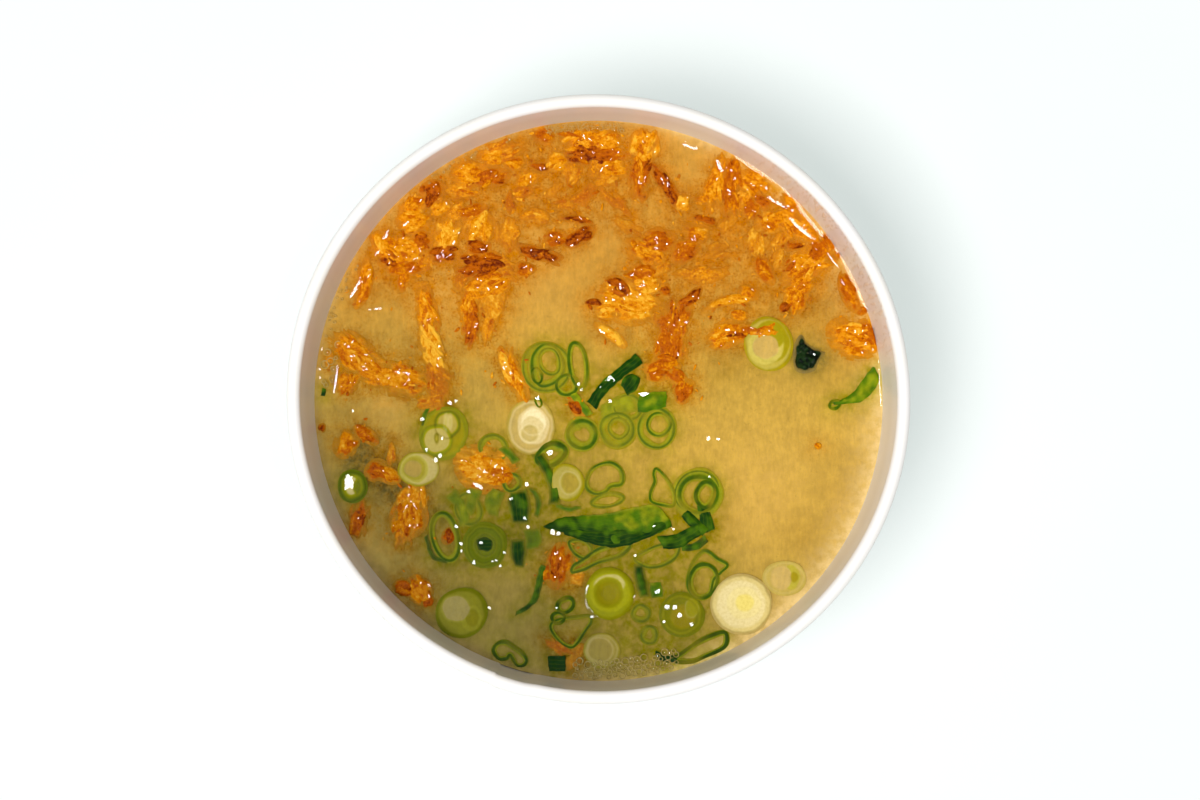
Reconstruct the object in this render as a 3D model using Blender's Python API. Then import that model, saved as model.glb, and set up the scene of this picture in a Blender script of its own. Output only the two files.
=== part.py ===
"""Miso soup in a white paper bowl, with spring onion, leaf and fried onion flakes on it.

All sizes below are in millimetres, and to_metres() turns them into Blender's metres.
The bowl stands on z = 0 with its axis on +Z, and the long way of its oval rim lies near +X.
"""
import math
import random

import bmesh
import bpy
from mathutils import Vector

MM = 0.001

# ---- bowl: one board, rolled outward at the rim and folded up inside at the foot
HEIGHT = 62.0
BOARD = 0.5
FOOT_RADIUS = 45.75          # middle of the board at the foot
CURL_CENTRE_RADIUS = 56.25   # middle of the rolled rim
CURL_RADIUS = 1.25           # outside of the roll
CURL_TURN = 270.0            # degrees of board in the roll
CURL_STEPS = 6
FOLD_HEIGHT = 5.5            # top of the board folded up inside the foot
FOLD_BEVEL = 0.35
FOLD_BEND = 0.9              # height where the fold's bend begins
WALL_ROW = 44.0              # height of a ring of points in the wall and the soup's side
BASE_EDGE = 1.3              # lower edge of the floor's turned-down flange
BASE_HEIGHT = 7.0            # upper side of the bowl's floor
GAP = 0.3                    # clearance between pieces that touch
ROUND_STEPS = 40

# ---- the bowl is a little oval at the rim, and round at its foot
OVAL = 0.74
OVAL_ANGLE = math.radians(-9.0)
OVAL_POWER = 3

# ---- side seam, where the board overlaps itself
SEAM_ANGLE = math.radians(254.0)
SEAM_HALF_WIDTH = math.radians(4.5)
SEAM_STEP = 0.3

# ---- soup
LEVEL = 51.0                 # the soup's surface
MENISCUS = ((0.0, 0.9), (0.7, 0.35), (2.2, 0.0))   # (distance from the wall, height above LEVEL)

# ---- garnish
SLICE_SINK = 1.9             # how deep a slice of onion sits in the soup
SLICE_RISE = 0.5
RING_SINK = 1.6
RING_RISE = 0.4
LEAF_RING_WALL = 0.7
LEAF_SINK = 0.5
LEAF_RISE = 0.5
FLAKE_SINK = 0.7
FLAKE_RISE = 1.1
GARNISH_STEPS = 12
FREE_RING_STEPS = 15
FLAKE_STEPS = 8
POCKET_TOP = 4.0             # how far a pocket's cutter stands over the soup

# name: (x, y, half width, half depth, turn in degrees)
ONION_SLICES = {
    "onion_slice_1": (27.1, -38.6, 5.8, 5.5, 0),
    "onion_slice_2": (-12.8, -5.1, 4.5, 4.7, 0),
    "onion_slice_3": (32.2, 10.6, 4.3, 5.1, 10),
    "onion_slice_4": (-29.3, -6.2, 4.5, 5.0, -30),
    "onion_slice_5": (-34.2, -13.1, 3.7, 3.0, 0),
    "onion_slice_6": (-25.9, -40.2, 4.5, 4.2, 20),
    "onion_slice_7": (35.2, -33.7, 3.8, 2.9, 0),
    "onion_slice_8": (-6.0, -15.6, 3.0, 3.4, 25),
    "onion_slice_9": (0.6, -47.3, 3.2, 3.1, 0),
}

# name: (x, y, outer radius, wall)
ONION_RINGS = {
    "onion_ring_1": (2.0, -36.6, 4.7, 2.0),
    "onion_ring_2": (-46.6, -16.4, 2.7, 0.9),
    "onion_ring_3": (-21.5, -27.5, 3.9, 1.3),
    "onion_ring_4": (15.7, -40.6, 3.7, 1.4),
}

# name: (x, y, half width, half depth, turn in degrees), measured to the middle of the wall
LEAF_RINGS_OVAL = {
    "leaf_ring_1": (-10.2, 6.6, 3.7, 4.2, 0),
    "leaf_ring_2": (-3.8, 6.6, 1.5, 4.3, 8),
    "leaf_ring_3": (-3.1, -6.5, 2.5, 2.5, 0),
    "leaf_ring_4": (3.5, -5.7, 2.6, 2.7, 0),
    "leaf_ring_5": (10.9, -5.5, 3.3, 3.3, 0),
    "leaf_ring_6": (19.0, -17.8, 3.4, 3.4, 0),
    "leaf_ring_7": (19.3, -34.0, 2.3, 3.1, -12),
    "leaf_ring_8": (-29.0, -25.8, 2.2, 4.3, 12),
}

# leaf rings of a free outline, along the middle of the wall
LEAF_RINGS_FREE = {
    "leaf_ring_9": (
        (-2.0, -15.2), (-0.8, -12.8), (1.9, -11.9), (4.0, -12.8), (4.7, -14.6),
        (4.1, -16.0), (2.4, -16.3), (1.3, -17.3), (-0.7, -17.7), (-1.9, -16.8),
    ),
    "leaf_ring_10": (
        (11.2, -12.6), (12.7, -14.2), (14.0, -16.6), (14.0, -18.6), (12.2, -19.0),
        (10.0, -18.4), (9.8, -16.6), (10.0, -14.6), (10.1, -13.1),
    ),
    "leaf_ring_11": (
        (-8.9, -42.6), (-8.6, -44.2), (-7.0, -45.9), (-5.3, -46.6), (-4.0, -45.9),
        (-2.6, -43.8), (-1.9, -42.4), (-3.2, -41.3), (-5.6, -41.0), (-7.8, -41.2),
    ),
    "leaf_ring_12": (
        (-19.3, -46.3), (-18.6, -45.0), (-17.1, -44.8), (-15.5, -45.9), (-14.0, -47.1),
        (-13.5, -48.3), (-14.3, -48.9), (-15.6, -48.3), (-16.8, -47.9), (-18.6, -47.7),
    ),
    "leaf_ring_13": (
        (14.6, -47.4), (16.6, -46.6), (19.4, -45.2), (21.8, -44.0), (23.2, -44.1), (23.4, -45.2),
        (22.2, -46.4), (19.8, -47.5), (17.6, -48.4), (15.4, -48.7),
    ),
}

# flat pieces of leaf
LEAF_PIECES = {
    "leaf_piece_1": (
        (-9.6, -24.0), (-5.5, -21.9), (0.5, -21.2), (7.0, -20.9), (11.4, -21.4), (13.8, -23.0),
        (13.6, -24.6), (8.6, -26.4), (3.6, -27.6), (-1.6, -27.0), (-6.0, -25.3),
    ),
    "leaf_piece_2": (
        (-1.5, -1.2), (-1.6, 0.4), (0.8, 3.6), (4.0, 6.6), (6.9, 8.7),
        (8.2, 7.4), (7.3, 6.2), (4.9, 4.9), (2.2, 2.2), (0.4, -0.8),
    ),
    "leaf_piece_3": ((7.9, 0.9), (10.5, 1.5), (13.2, 1.8), (13.0, -0.7), (10.5, -0.9), (8.0, -1.5)),
    "leaf_piece_4": (
        (51.2, 3.9), (49.8, 3.3), (47.6, 1.0), (45.6, 0.5), (44.0, -0.1), (44.4, -1.4),
        (46.2, -1.2), (49.0, -0.8), (50.4, -0.5), (51.4, 2.0),
    ),
    "leaf_piece_5": ((-9.4, -48.0), (-6.4, -48.1), (-6.3, -50.6), (-9.2, -50.7)),
    "leaf_piece_6": (
        (17.4, -23.2), (19.4, -22.8), (21.3, -24.6), (19.8, -25.4),
        (18.6, -27.2), (14.8, -27.8), (12.4, -27.2), (15.0, -25.6),
    ),
    "wakame_piece": (
        (37.6, 9.2), (38.4, 11.6), (39.8, 10.4), (41.0, 9.2), (42.4, 8.8),
        (41.4, 7.2), (40.8, 6.0), (38.8, 5.2), (37.7, 6.6),
    ),
}

# fried onion flakes: (x, y, length, width, turn in degrees)
FLAKES = {
    "fried_flake_1": (-33.2, 12.7, 16.0, 2.8, -78),
    "fried_flake_2": (-45.4, 7.3, 11.0, 5.6, -40),
    "fried_flake_3": (47.5, 11.7, 6.4, 5.2, -10),
    "fried_flake_4": (-21.7, -13.0, 8.2, 6.4, -15),
    "fried_flake_5": (-35.7, -22.3, 9.5, 6.2, 80),
    "fried_flake_6": (-33.6, -36.0, 4.8, 3.6, -60),
    "fried_flake_7": (-7.8, -31.4, 6.6, 4.2, 75),
    "fried_flake_8": (-16.4, 4.3, 8.4, 2.8, -65),
    "fried_flake_9": (12.6, 40.7, 8.0, 1.8, -56),
    "fried_flake_10": (5.2, 19.2, 10.0, 7.0, -20),
    "fried_flake_11": (14.5, 13.0, 11.0, 7.0, 80),
    "fried_flake_12": (23.8, 12.6, 5.8, 4.2, 25),
    "fried_flake_13": (9.3, 27.3, 8.5, 5.5, -35),
    "fried_flake_14": (-2.4, 48.0, 7.5, 6.2, 0),
    "fried_flake_15": (8.3, 46.4, 8.4, 4.2, 85),
    "fried_flake_16": (24.0, 39.8, 10.0, 5.0, 85),
    "fried_flake_17": (-24.5, 42.3, 8.0, 4.5, -15),
    "fried_flake_18": (40.5, 27.0, 9.0, 5.0, 40),
}

# ---- materials: (colour, roughness)
PAPER = ("white paper", (0.90, 0.89, 0.87), 0.55)
BROTH = ("miso broth", (0.58, 0.38, 0.12), 0.12)
ONION = ("onion white", (0.72, 0.70, 0.42), 0.3)
GREEN = ("spring onion green", (0.16, 0.36, 0.03), 0.3)
WAKAME = ("wakame", (0.01, 0.03, 0.01), 0.3)
FRIED = ("fried onion", (0.62, 0.22, 0.02), 0.35)


def make_material(name, colour, roughness):
    """A plain coloured material, made once for each name."""
    material = bpy.data.materials.get(name) or bpy.data.materials.new(name)
    material.use_nodes = True
    shader = material.node_tree.nodes["Principled BSDF"]
    shader.inputs["Base Color"].default_value = (*colour, 1.0)
    shader.inputs["Roughness"].default_value = roughness
    material.diffuse_color = (*colour, 1.0)
    return material


def add_object(name, shape, finish):
    """Close off a bmesh as a named, smoothly shaded object."""
    bmesh.ops.recalc_face_normals(shape, faces=shape.faces)
    mesh = bpy.data.meshes.new(name)
    shape.to_mesh(mesh)
    shape.free()
    mesh.shade_smooth()
    mesh.set_sharp_from_angle(angle=math.radians(40))
    if finish:
        mesh.materials.append(make_material(*finish))
    piece = bpy.data.objects.new(name, mesh)
    bpy.context.collection.objects.link(piece)
    return piece


def to_metres(x, y, z):
    return Vector((x, y, z)) * MM


# ---------------------------------------------------------------- turned pieces

def wall_radius(z):
    """Radius of the middle of the bowl's board at height z."""
    curl_start = CURL_CENTRE_RADIUS - (CURL_RADIUS - BOARD / 2)
    slope = (curl_start - FOOT_RADIUS) / (HEIGHT - CURL_RADIUS)
    return FOOT_RADIUS + slope * z


def sheet_outline(middle):
    """Both faces of a board that follows a middle line of (radius, height) points."""
    points = [Vector(point) for point in middle]
    normals = []
    for start, end in zip(points, points[1:]):
        along = (end - start).normalized()
        normals.append(Vector((-along.y, along.x)))
    left, right = [], []
    for point, before, after in zip(points, normals[:1] + normals, normals + normals[-1:]):
        mitre = (before + after).normalized()
        across = mitre * (BOARD / 2) / mitre.dot(before)
        left.append(point + across)
        right.append(point - across)
    return left + right[::-1]


def turn_profile(name, profile, finish, closed, seam=False):
    """Turn a (radius, height) profile about the bowl's axis, cap its open ends and make it oval."""
    shape = bmesh.new()
    verts = [shape.verts.new(to_metres(r, 0.0, z)) for r, z in profile]
    edges = [shape.edges.new(pair) for pair in zip(verts, verts[1:])]
    if closed:
        edges.append(shape.edges.new((verts[-1], verts[0])))
    bmesh.ops.spin(
        shape, geom=verts + edges, cent=(0, 0, 0), axis=(0, 0, 1),
        angle=2 * math.pi, steps=ROUND_STEPS, use_merge=True,
    )
    bmesh.ops.remove_doubles(shape, verts=shape.verts, dist=0.00001)
    open_edges = [edge for edge in shape.edges if edge.is_boundary]
    if open_edges:
        bmesh.ops.holes_fill(shape, edges=open_edges, sides=0)
    for vert in shape.verts:
        radius = math.hypot(vert.co.x, vert.co.y)
        if radius > 0.001:
            angle = math.atan2(vert.co.y, vert.co.x)
            wider = radius + out_of_round(angle, vert.co.z / MM, radius / MM, seam) * MM
            vert.co.x *= wider / radius
            vert.co.y *= wider / radius
    return add_object(name, shape, finish)


def out_of_round(angle, z, radius, seam):
    """How far the bowl stands out at one angle, in millimetres; nothing at its axis."""
    share = min(radius / wall_radius(z), 1.0)
    oval = OVAL * (z / HEIGHT) ** OVAL_POWER * math.cos(2 * (angle - OVAL_ANGLE)) * share
    turn = (angle - SEAM_ANGLE + math.pi) % (2 * math.pi) - math.pi
    return oval + (SEAM_STEP if seam and abs(turn) < SEAM_HALF_WIDTH else 0.0)


def make_bowl_wall():
    """The side of the bowl: rolled rim, tapered wall and folded foot."""
    roll = CURL_RADIUS - BOARD / 2
    curl_z = HEIGHT - CURL_RADIUS
    middle = []
    for i in range(CURL_STEPS + 1):
        angle = math.radians(180.0 - CURL_TURN * (1 - i / CURL_STEPS))
        middle.append((CURL_CENTRE_RADIUS + roll * math.cos(angle), curl_z + roll * math.sin(angle)))
    middle.append((wall_radius(WALL_ROW), WALL_ROW))
    middle.append((wall_radius(FOLD_BEND), FOLD_BEND))
    fold = 2 * (BOARD + GAP)
    low = BOARD / 2
    middle.append((wall_radius(0) - FOLD_BEVEL, low))
    middle.append((wall_radius(0) - fold + FOLD_BEVEL, low))
    middle.append((wall_radius(FOLD_BEND) - fold, FOLD_BEND))
    middle.append((wall_radius(FOLD_HEIGHT) - fold, FOLD_HEIGHT))
    return turn_profile("bowl_wall", sheet_outline(middle), PAPER, closed=True, seam=True)


def make_bowl_base():
    """The floor of the bowl, with its edge turned down between the layers of the foot."""
    drop = BOARD + GAP
    floor = BASE_HEIGHT - BOARD / 2
    bend = 0.8
    middle = [
        (0.0, floor),
        (wall_radius(floor) - drop - bend, floor),
        (wall_radius(floor - bend) - drop, floor - bend),
        (wall_radius(BASE_EDGE) - drop, BASE_EDGE),
    ]
    outline = sheet_outline(middle)
    return turn_profile("bowl_base", outline, PAPER, closed=False)


def make_soup():
    """The soup, up to its surface, a small gap off the bowl."""
    inset = BOARD / 2 + GAP
    low = BASE_HEIGHT + GAP
    profile = [(wall_radius(low) - inset - 0.5, low), (wall_radius(low + 0.5) - inset, low + 0.5)]
    profile.append((wall_radius(WALL_ROW) - inset, WALL_ROW))
    for distance, rise in MENISCUS:
        profile.append((wall_radius(LEVEL + rise) - inset - distance, LEVEL + rise))
    return turn_profile("soup", profile, BROTH, closed=False)


# ---------------------------------------------------------------- outlines

def oval_outline(x, y, half_width, half_depth, turn, steps):
    """Points of an ellipse turned by a number of degrees."""
    tilt = math.radians(turn)
    points = []
    for i in range(steps):
        angle = 2 * math.pi * i / steps
        along, across = half_width * math.cos(angle), half_depth * math.sin(angle)
        points.append(Vector((
            x + along * math.cos(tilt) - across * math.sin(tilt),
            y + along * math.sin(tilt) + across * math.cos(tilt),
        )))
    return points


def anticlockwise(points):
    """The same outline, running anticlockwise."""
    area = sum(a[0] * b[1] - b[0] * a[1] for a, b in zip(points, points[1:] + points[:1]))
    return points if area > 0 else points[::-1]


def offset_outline(points, distance):
    """An outline moved outward, or inward where the distance is negative."""
    count = len(points)
    moved = []
    for i, point in enumerate(points):
        along = (points[(i + 1) % count] - points[i - 1]).normalized()
        moved.append(point + Vector((along.y, -along.x)) * distance)
    return moved


def smooth_outline(points, steps):
    """A closed smooth curve through a few points, at even steps of its parameter."""
    points = anticlockwise([Vector(point) for point in points])
    count = len(points)
    curve = []
    for i in range(steps):
        place = i * count / steps
        k, t = int(place), place % 1.0
        p0, p1, p2, p3 = (points[(k + shift) % count] for shift in (-1, 0, 1, 2))
        curve.append(0.5 * (2 * p1 + (p2 - p0) * t + (2 * p0 - 5 * p1 + 4 * p2 - p3) * t * t
                            + (3 * p1 - p0 - 3 * p2 + p3) * t ** 3))
    return curve


# ---------------------------------------------------------------- garnish

def loft(name, loops, finish, wrap=False):
    """Skin closed loops of equal length; wrap joins the last loop to the first."""
    shape = bmesh.new()
    rows = [[shape.verts.new(to_metres(*point)) for point in loop] for loop in loops]
    pairs = list(zip(rows, rows[1:]))
    if wrap:
        pairs.append((rows[-1], rows[0]))
    else:
        shape.faces.new(rows[0][::-1])
        shape.faces.new(rows[-1])
    for low, high in pairs:
        for i, vert in enumerate(low):
            k = (i + 1) % len(low)
            shape.faces.new((vert, low[k], high[k], high[i]))
    return add_object(name, shape, finish)


def at_height(outline, z):
    return [(point.x, point.y, z) for point in outline]


def shrunk(outline, share, z):
    """An outline drawn towards its middle, at one height."""
    middle = sum(outline, Vector((0.0, 0.0))) / len(outline)
    return at_height([middle + (point - middle) * share for point in outline], z)


def cut_pocket(soup, loops, wrap=False):
    """Cut the space of one piece of garnish, with its clearance, out of the soup."""
    cutter = loft("pocket", loops, None, wrap)
    cutter.hide_render = True
    cutter.display_type = "WIRE"
    modifier = soup.modifiers.new("pocket", "BOOLEAN")
    modifier.operation = "DIFFERENCE"
    modifier.object = cutter


def solid_pocket(soup, outline, sink):
    """A pocket for a piece with no hole."""
    wider = offset_outline(outline, GAP)
    cut_pocket(soup, [at_height(wider, LEVEL - sink - GAP), at_height(wider, LEVEL + POCKET_TOP)])


def ring_pocket(soup, outline, half_wall, sink):
    """A pocket for a tube's wall, which leaves the soup inside the tube."""
    outer = offset_outline(outline, half_wall + GAP)
    inner = offset_outline(outline, -half_wall - GAP)
    low, high = LEVEL - sink - GAP, LEVEL + POCKET_TOP
    loops = [at_height(outer, low), at_height(outer, high), at_height(inner, high), at_height(inner, low)]
    cut_pocket(soup, loops, wrap=True)


def make_slice(soup, name, place):
    """A slice of the onion's stem: layers that show as steps in its cut face."""
    outline = oval_outline(*place, GARNISH_STEPS)
    low, top = LEVEL - SLICE_SINK, LEVEL + SLICE_RISE
    groove = 0.3
    loops = [
        at_height(outline, low), at_height(outline, top), shrunk(outline, 0.78, top - groove),
        shrunk(outline, 0.62, top),
    ]
    solid_pocket(soup, outline, SLICE_SINK)
    return loft(name, loops, ONION)


def make_tube(soup, name, outline, wall):
    """A short piece of hollow stem or leaf standing in the soup."""
    outer, inner = offset_outline(outline, wall / 2), offset_outline(outline, -wall / 2)
    low, top = LEVEL - RING_SINK, LEVEL + RING_RISE
    loops = [at_height(outer, low), at_height(outer, top), at_height(inner, top), at_height(inner, low)]
    ring_pocket(soup, outline, wall / 2, RING_SINK)
    return loft(name, loops, GREEN, wrap=True)


def make_leaf(soup, name, corners):
    """A flat piece of leaf lying in the surface."""
    outline = smooth_outline(corners, GARNISH_STEPS)
    solid_pocket(soup, outline, LEAF_SINK)
    loops = [at_height(outline, LEVEL - LEAF_SINK), at_height(outline, LEVEL + LEAF_RISE * 0.6)]
    loops.append(shrunk(outline, 0.7, LEVEL + LEAF_RISE))
    return loft(name, loops, WAKAME if name.startswith("wakame") else GREEN)


def make_flake(soup, name, x, y, length, width, turn):
    """A crumpled flake of fried onion, bedded in the surface."""
    chance = random.Random(name)
    full = oval_outline(x, y, length / 2, width / 2, turn, FLAKE_STEPS)
    middle = Vector((x, y))
    outline = [middle + (point - middle) * chance.uniform(0.78, 1.0) for point in full]
    low, top = LEVEL - FLAKE_SINK, LEVEL + FLAKE_RISE
    edge = [(point.x, point.y, LEVEL + chance.uniform(0.1, 0.6)) for point in outline]
    crown = [(px, py, top - chance.uniform(0.0, 0.6)) for px, py, _ in shrunk(outline, 0.55, top)]
    solid_pocket(soup, full, FLAKE_SINK)
    return loft(name, [at_height(outline, low), edge, crown], FRIED)


def main():
    for item in list(bpy.data.objects):
        bpy.data.objects.remove(item, do_unlink=True)
    make_bowl_wall()
    make_bowl_base()
    soup = make_soup()
    for name, place in ONION_SLICES.items():
        make_slice(soup, name, place)
    for name, (x, y, radius, wall) in ONION_RINGS.items():
        middle = radius - wall / 2
        make_tube(soup, name, oval_outline(x, y, middle, middle, 0, GARNISH_STEPS), wall)
    for name, place in LEAF_RINGS_OVAL.items():
        make_tube(soup, name, oval_outline(*place, GARNISH_STEPS), LEAF_RING_WALL)
    for name, corners in LEAF_RINGS_FREE.items():
        make_tube(soup, name, smooth_outline(corners, FREE_RING_STEPS), LEAF_RING_WALL)
    for name, corners in LEAF_PIECES.items():
        make_leaf(soup, name, corners)
    for name, place in FLAKES.items():
        make_flake(soup, name, *place)


main()
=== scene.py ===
"""Looks of the miso soup: a rolled paper bowl, turbid broth under a clear film, and what floats in it.

Heights of what floats are measured from the soup's surface. Tints are given as they look on a white
card, 0 to 255.
"""
import math
import random

import bpy
import bmesh
import numpy as np
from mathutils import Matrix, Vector, noise


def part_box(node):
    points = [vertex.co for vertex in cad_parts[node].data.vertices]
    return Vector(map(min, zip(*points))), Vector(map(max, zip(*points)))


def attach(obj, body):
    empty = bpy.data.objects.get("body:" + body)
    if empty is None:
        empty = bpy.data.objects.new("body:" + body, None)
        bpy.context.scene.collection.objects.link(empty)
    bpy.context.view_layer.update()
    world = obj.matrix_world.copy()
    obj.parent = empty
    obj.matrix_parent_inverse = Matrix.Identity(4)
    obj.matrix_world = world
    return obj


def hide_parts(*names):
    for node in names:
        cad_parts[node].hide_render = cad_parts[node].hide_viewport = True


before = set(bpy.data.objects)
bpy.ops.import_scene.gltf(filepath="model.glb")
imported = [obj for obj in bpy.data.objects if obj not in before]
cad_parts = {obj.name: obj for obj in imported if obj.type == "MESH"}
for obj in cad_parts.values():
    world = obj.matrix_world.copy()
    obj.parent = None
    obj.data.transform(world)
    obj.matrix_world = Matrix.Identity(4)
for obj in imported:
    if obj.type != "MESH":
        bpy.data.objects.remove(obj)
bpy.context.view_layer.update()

MM = 0.001


def box_mm(node):
    """Lowest and highest corner of a CAD node, in millimetres."""
    low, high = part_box(node)
    return np.array(low) / MM, np.array(high) / MM


# ---- bowl, from the frame
_, wall_high = box_mm("bowl_wall")
base_low, base_high = box_mm("bowl_base")
_, soup_high = box_mm("soup")
BOARD = 0.5                                   # thickness of the paper board
GAP = 0.3                                     # clearance between pieces that touch
HEIGHT = wall_high[2]
FLOOR_TOP = base_high[2]
OVAL_ANGLE = math.radians(-9.0)               # the rim is a little longer this way
OVAL_POWER = 3
OVAL = (wall_high[0] - wall_high[1]) / 2 / math.cos(2 * OVAL_ANGLE)
RIM_RADIUS = (wall_high[0] + wall_high[1]) / 2
CURL_RADIUS = 1.25                            # outside of the rolled rim
CURL_TURN = 270.0
CURL_STEPS = 22
CURL_CENTRE = RIM_RADIUS - CURL_RADIUS
FOOT_RADIUS = 45.75                           # middle of the board at the foot
FOLD_HEIGHT = 5.5                             # top of the board folded up inside the foot
SEAM_ANGLE = math.radians(254.0)              # side seam, where the board overlaps itself
SEAM_HALF = math.radians(4.5)
SEAM_EDGE = math.radians(0.3)
TURN_STEPS = 240

# ---- soup
SOUP_CLIMB = 0.9
LEVEL = soup_high[2] - SOUP_CLIMB             # the soup's surface
FILM_CLIMB = 1.1                              # how far the surface climbs the wall
FILM_REACH = 1.0                              # how fast that climb dies out
CLEAR_DEPTH = 0.25                            # clear broth over the cloudy body
SEEN_DEPTH = 1.2                              # deepest that anything shows through the broth
SQUEEZE = 0.15                                # what lies under the surface is drawn up by this share
ROUGH_GAIN = 1.6                              # brings smooth noise to about -1 to 1
OFF_WALL = 0.1                                # least room between what floats and the wall
SKIN_REACH = 1.3                              # width over which the cloudy body rises at the wall
FILM_STEPS = 250
BODY_STEPS = 240
BODY_HEIGHTS = (44.0, 30.0, 16.0)             # rows of points down the body's side


# ---------------------------------------------------------------- shapes

class Shape:
    """Points, faces and point values of a piece while it is being made, in millimetres."""

    def __init__(self, *names):
        self.points, self.faces = [], []
        self.values = {name: [] for name in names}
        self.count = 0

    def add(self, points, faces, **values):
        """Add points and faces; a value is one number or one for each point."""
        points = np.asarray(points, float).reshape(-1, 3)
        self.points.append(points)
        self.faces += (np.asarray(faces) + self.count).tolist() if len(faces) else []
        for name, kept in self.values.items():
            kept.append(np.broadcast_to(np.asarray(values.get(name, 0.0), float).ravel(), len(points)))
        self.count += len(points)

    def finish(self, name, material, nodes=(), slot=None, sharp=50):
        """Turn the shape into a piece that rides with the bowl."""
        mesh = bpy.data.meshes.new(name)
        mesh.from_pydata((np.concatenate(self.points) * MM).tolist(), [], self.faces)
        tidy = bmesh.new()
        tidy.from_mesh(mesh)
        bmesh.ops.recalc_face_normals(tidy, faces=tidy.faces)
        tidy.to_mesh(mesh)
        tidy.free()
        for value_name, kept in self.values.items():
            layer = mesh.attributes.new(value_name, "FLOAT", "POINT")
            layer.data.foreach_set("value", np.concatenate(kept).astype(np.float32))
        mesh.shade_smooth()
        mesh.set_sharp_from_angle(angle=math.radians(sharp))
        mesh.materials.append(material)
        piece = bpy.data.objects.new(name, mesh)
        bpy.context.collection.objects.link(piece)
        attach(piece, "root")
        if nodes:
            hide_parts(*nodes)
        return piece


def off_wall(points):
    """The same points, pushed in where they would reach the bowl's wall."""
    angle, radius = np.arctan2(points[:, 1], points[:, 0]), np.hypot(points[:, 0], points[:, 1])
    share = np.minimum((inner_radius(angle, LEVEL) - OFF_WALL) / np.maximum(radius, 1e-6), 1)
    return points * np.column_stack([share, share, np.ones_like(share)])


class Wet(Shape):
    """A shape that stays off the bowl's wall."""

    def add(self, points, faces, **values):
        super().add(off_wall(np.array(points, float).reshape(-1, 3)), faces, **values)


class Garnish(Wet):
    """A shape that floats. What lies under the surface is drawn up to just below it; the depth it
    had is told by how far the broth veils its colour."""

    def add(self, points, faces, **values):
        points = np.array(points, float).reshape(-1, 3)
        depth = np.maximum(LEVEL - points[:, 2], 0)
        points[:, 2] += np.minimum(depth, SEEN_DEPTH) * (1 - SQUEEZE)
        super().add(points, faces, **values)


def grid_faces(rows, columns, wrap_rows=False, wrap_columns=False):
    """Quads of a grid of points given row by row."""
    row = np.arange(rows if wrap_rows else rows - 1)[:, None]
    column = np.arange(columns if wrap_columns else columns - 1)[None, :]
    next_row, next_column = (row + 1) % rows, (column + 1) % columns
    corners = (
        row * columns + column, row * columns + next_column,
        next_row * columns + next_column, next_row * columns + column,
    )
    return np.stack([np.broadcast_to(c, (row.size, column.size)) for c in corners], -1).reshape(-1, 4)


def closed_curve(points, steps):
    """A closed smooth curve through a few points, at even steps of its length."""
    knots = np.asarray(points, float)
    count = len(knots)
    place = np.arange(count * 16) / 16
    k, t = place.astype(int), (place % 1.0)[:, None]
    p0, p1, p2, p3 = (knots[(k + shift) % count] for shift in (-1, 0, 1, 2))
    curve = 0.5 * (2 * p1 + (p2 - p0) * t + (2 * p0 - 5 * p1 + 4 * p2 - p3) * t**2
                   + (3 * p1 - p0 - 3 * p2 + p3) * t**3)
    return evenly(curve, steps, closed=True)


def open_curve(points, steps):
    """A smooth curve through a few points from end to end, at even steps of its length."""
    knots = np.asarray(points, float)
    knots = np.vstack([2 * knots[:1] - knots[1:2], knots, 2 * knots[-1:] - knots[-2:-1]])
    spans = len(knots) - 3
    place = np.linspace(0, spans, spans * 16 + 1)
    k = np.minimum(place.astype(int), spans - 1)
    t = (place - k)[:, None]
    p0, p1, p2, p3 = (knots[k + shift] for shift in (0, 1, 2, 3))
    curve = 0.5 * (2 * p1 + (p2 - p0) * t + (2 * p0 - 5 * p1 + 4 * p2 - p3) * t**2
                   + (3 * p1 - p0 - 3 * p2 + p3) * t**3)
    return evenly(curve, steps, closed=False)


def evenly(curve, steps, closed):
    """The same curve at even steps of its length."""
    if closed:
        curve = np.vstack([curve, curve[:1]])
    run = np.concatenate([[0], np.cumsum(np.hypot(*np.diff(curve, axis=0).T))])
    at = np.linspace(0, run[-1], steps, endpoint=not closed)
    return np.stack([np.interp(at, run, curve[:, axis]) for axis in (0, 1)], -1)


def anticlockwise(curve):
    x, y = curve.T
    area = np.sum(x * np.roll(y, -1) - np.roll(x, -1) * y)
    return curve if area > 0 else curve[::-1]


def outward(curve):
    """Unit vectors that point out of a closed anticlockwise curve."""
    along = np.roll(curve, -1, 0) - np.roll(curve, 1, 0)
    along /= np.maximum(np.hypot(*along.T), 1e-9)[:, None]
    return np.stack([along[:, 1], -along[:, 0]], -1)


def oval(x, y, half_width, half_depth, turn=0.0, steps=72, uneven=0.0, seed=0):
    """A closed oval, turned by a number of degrees; uneven makes its outline wander."""
    angle = 2 * np.pi * np.arange(steps) / steps
    swell = 1 + uneven * wander(angle, 4, seed)
    along, across = half_width * swell * np.cos(angle), half_depth * swell * np.sin(angle)
    c, s = math.cos(math.radians(turn)), math.sin(math.radians(turn))
    return np.stack([x + along * c - across * s, y + along * s + across * c], -1)


def wander(angle, waves, seed):
    """A smooth random value from about -1 to 1 that closes up after a full turn."""
    draw = random.Random(seed)
    total = np.zeros_like(angle)
    for wave in range(1, waves + 1):
        total += np.sin(wave * angle + draw.uniform(0, 2 * math.pi)) * draw.uniform(0.5, 1) / wave**0.5
    return total / waves**0.5


def rough(points, size, seed=0):
    """Smooth noise of about -1 to 1 at each point, with lumps of a given size."""
    shift = Vector((seed * 7.31, seed * 3.17, seed * 5.73))
    places = np.asarray(points, float).reshape(-1, 3)
    return ROUGH_GAIN * np.array([noise.noise(Vector(place) / size + shift) for place in places])


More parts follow.
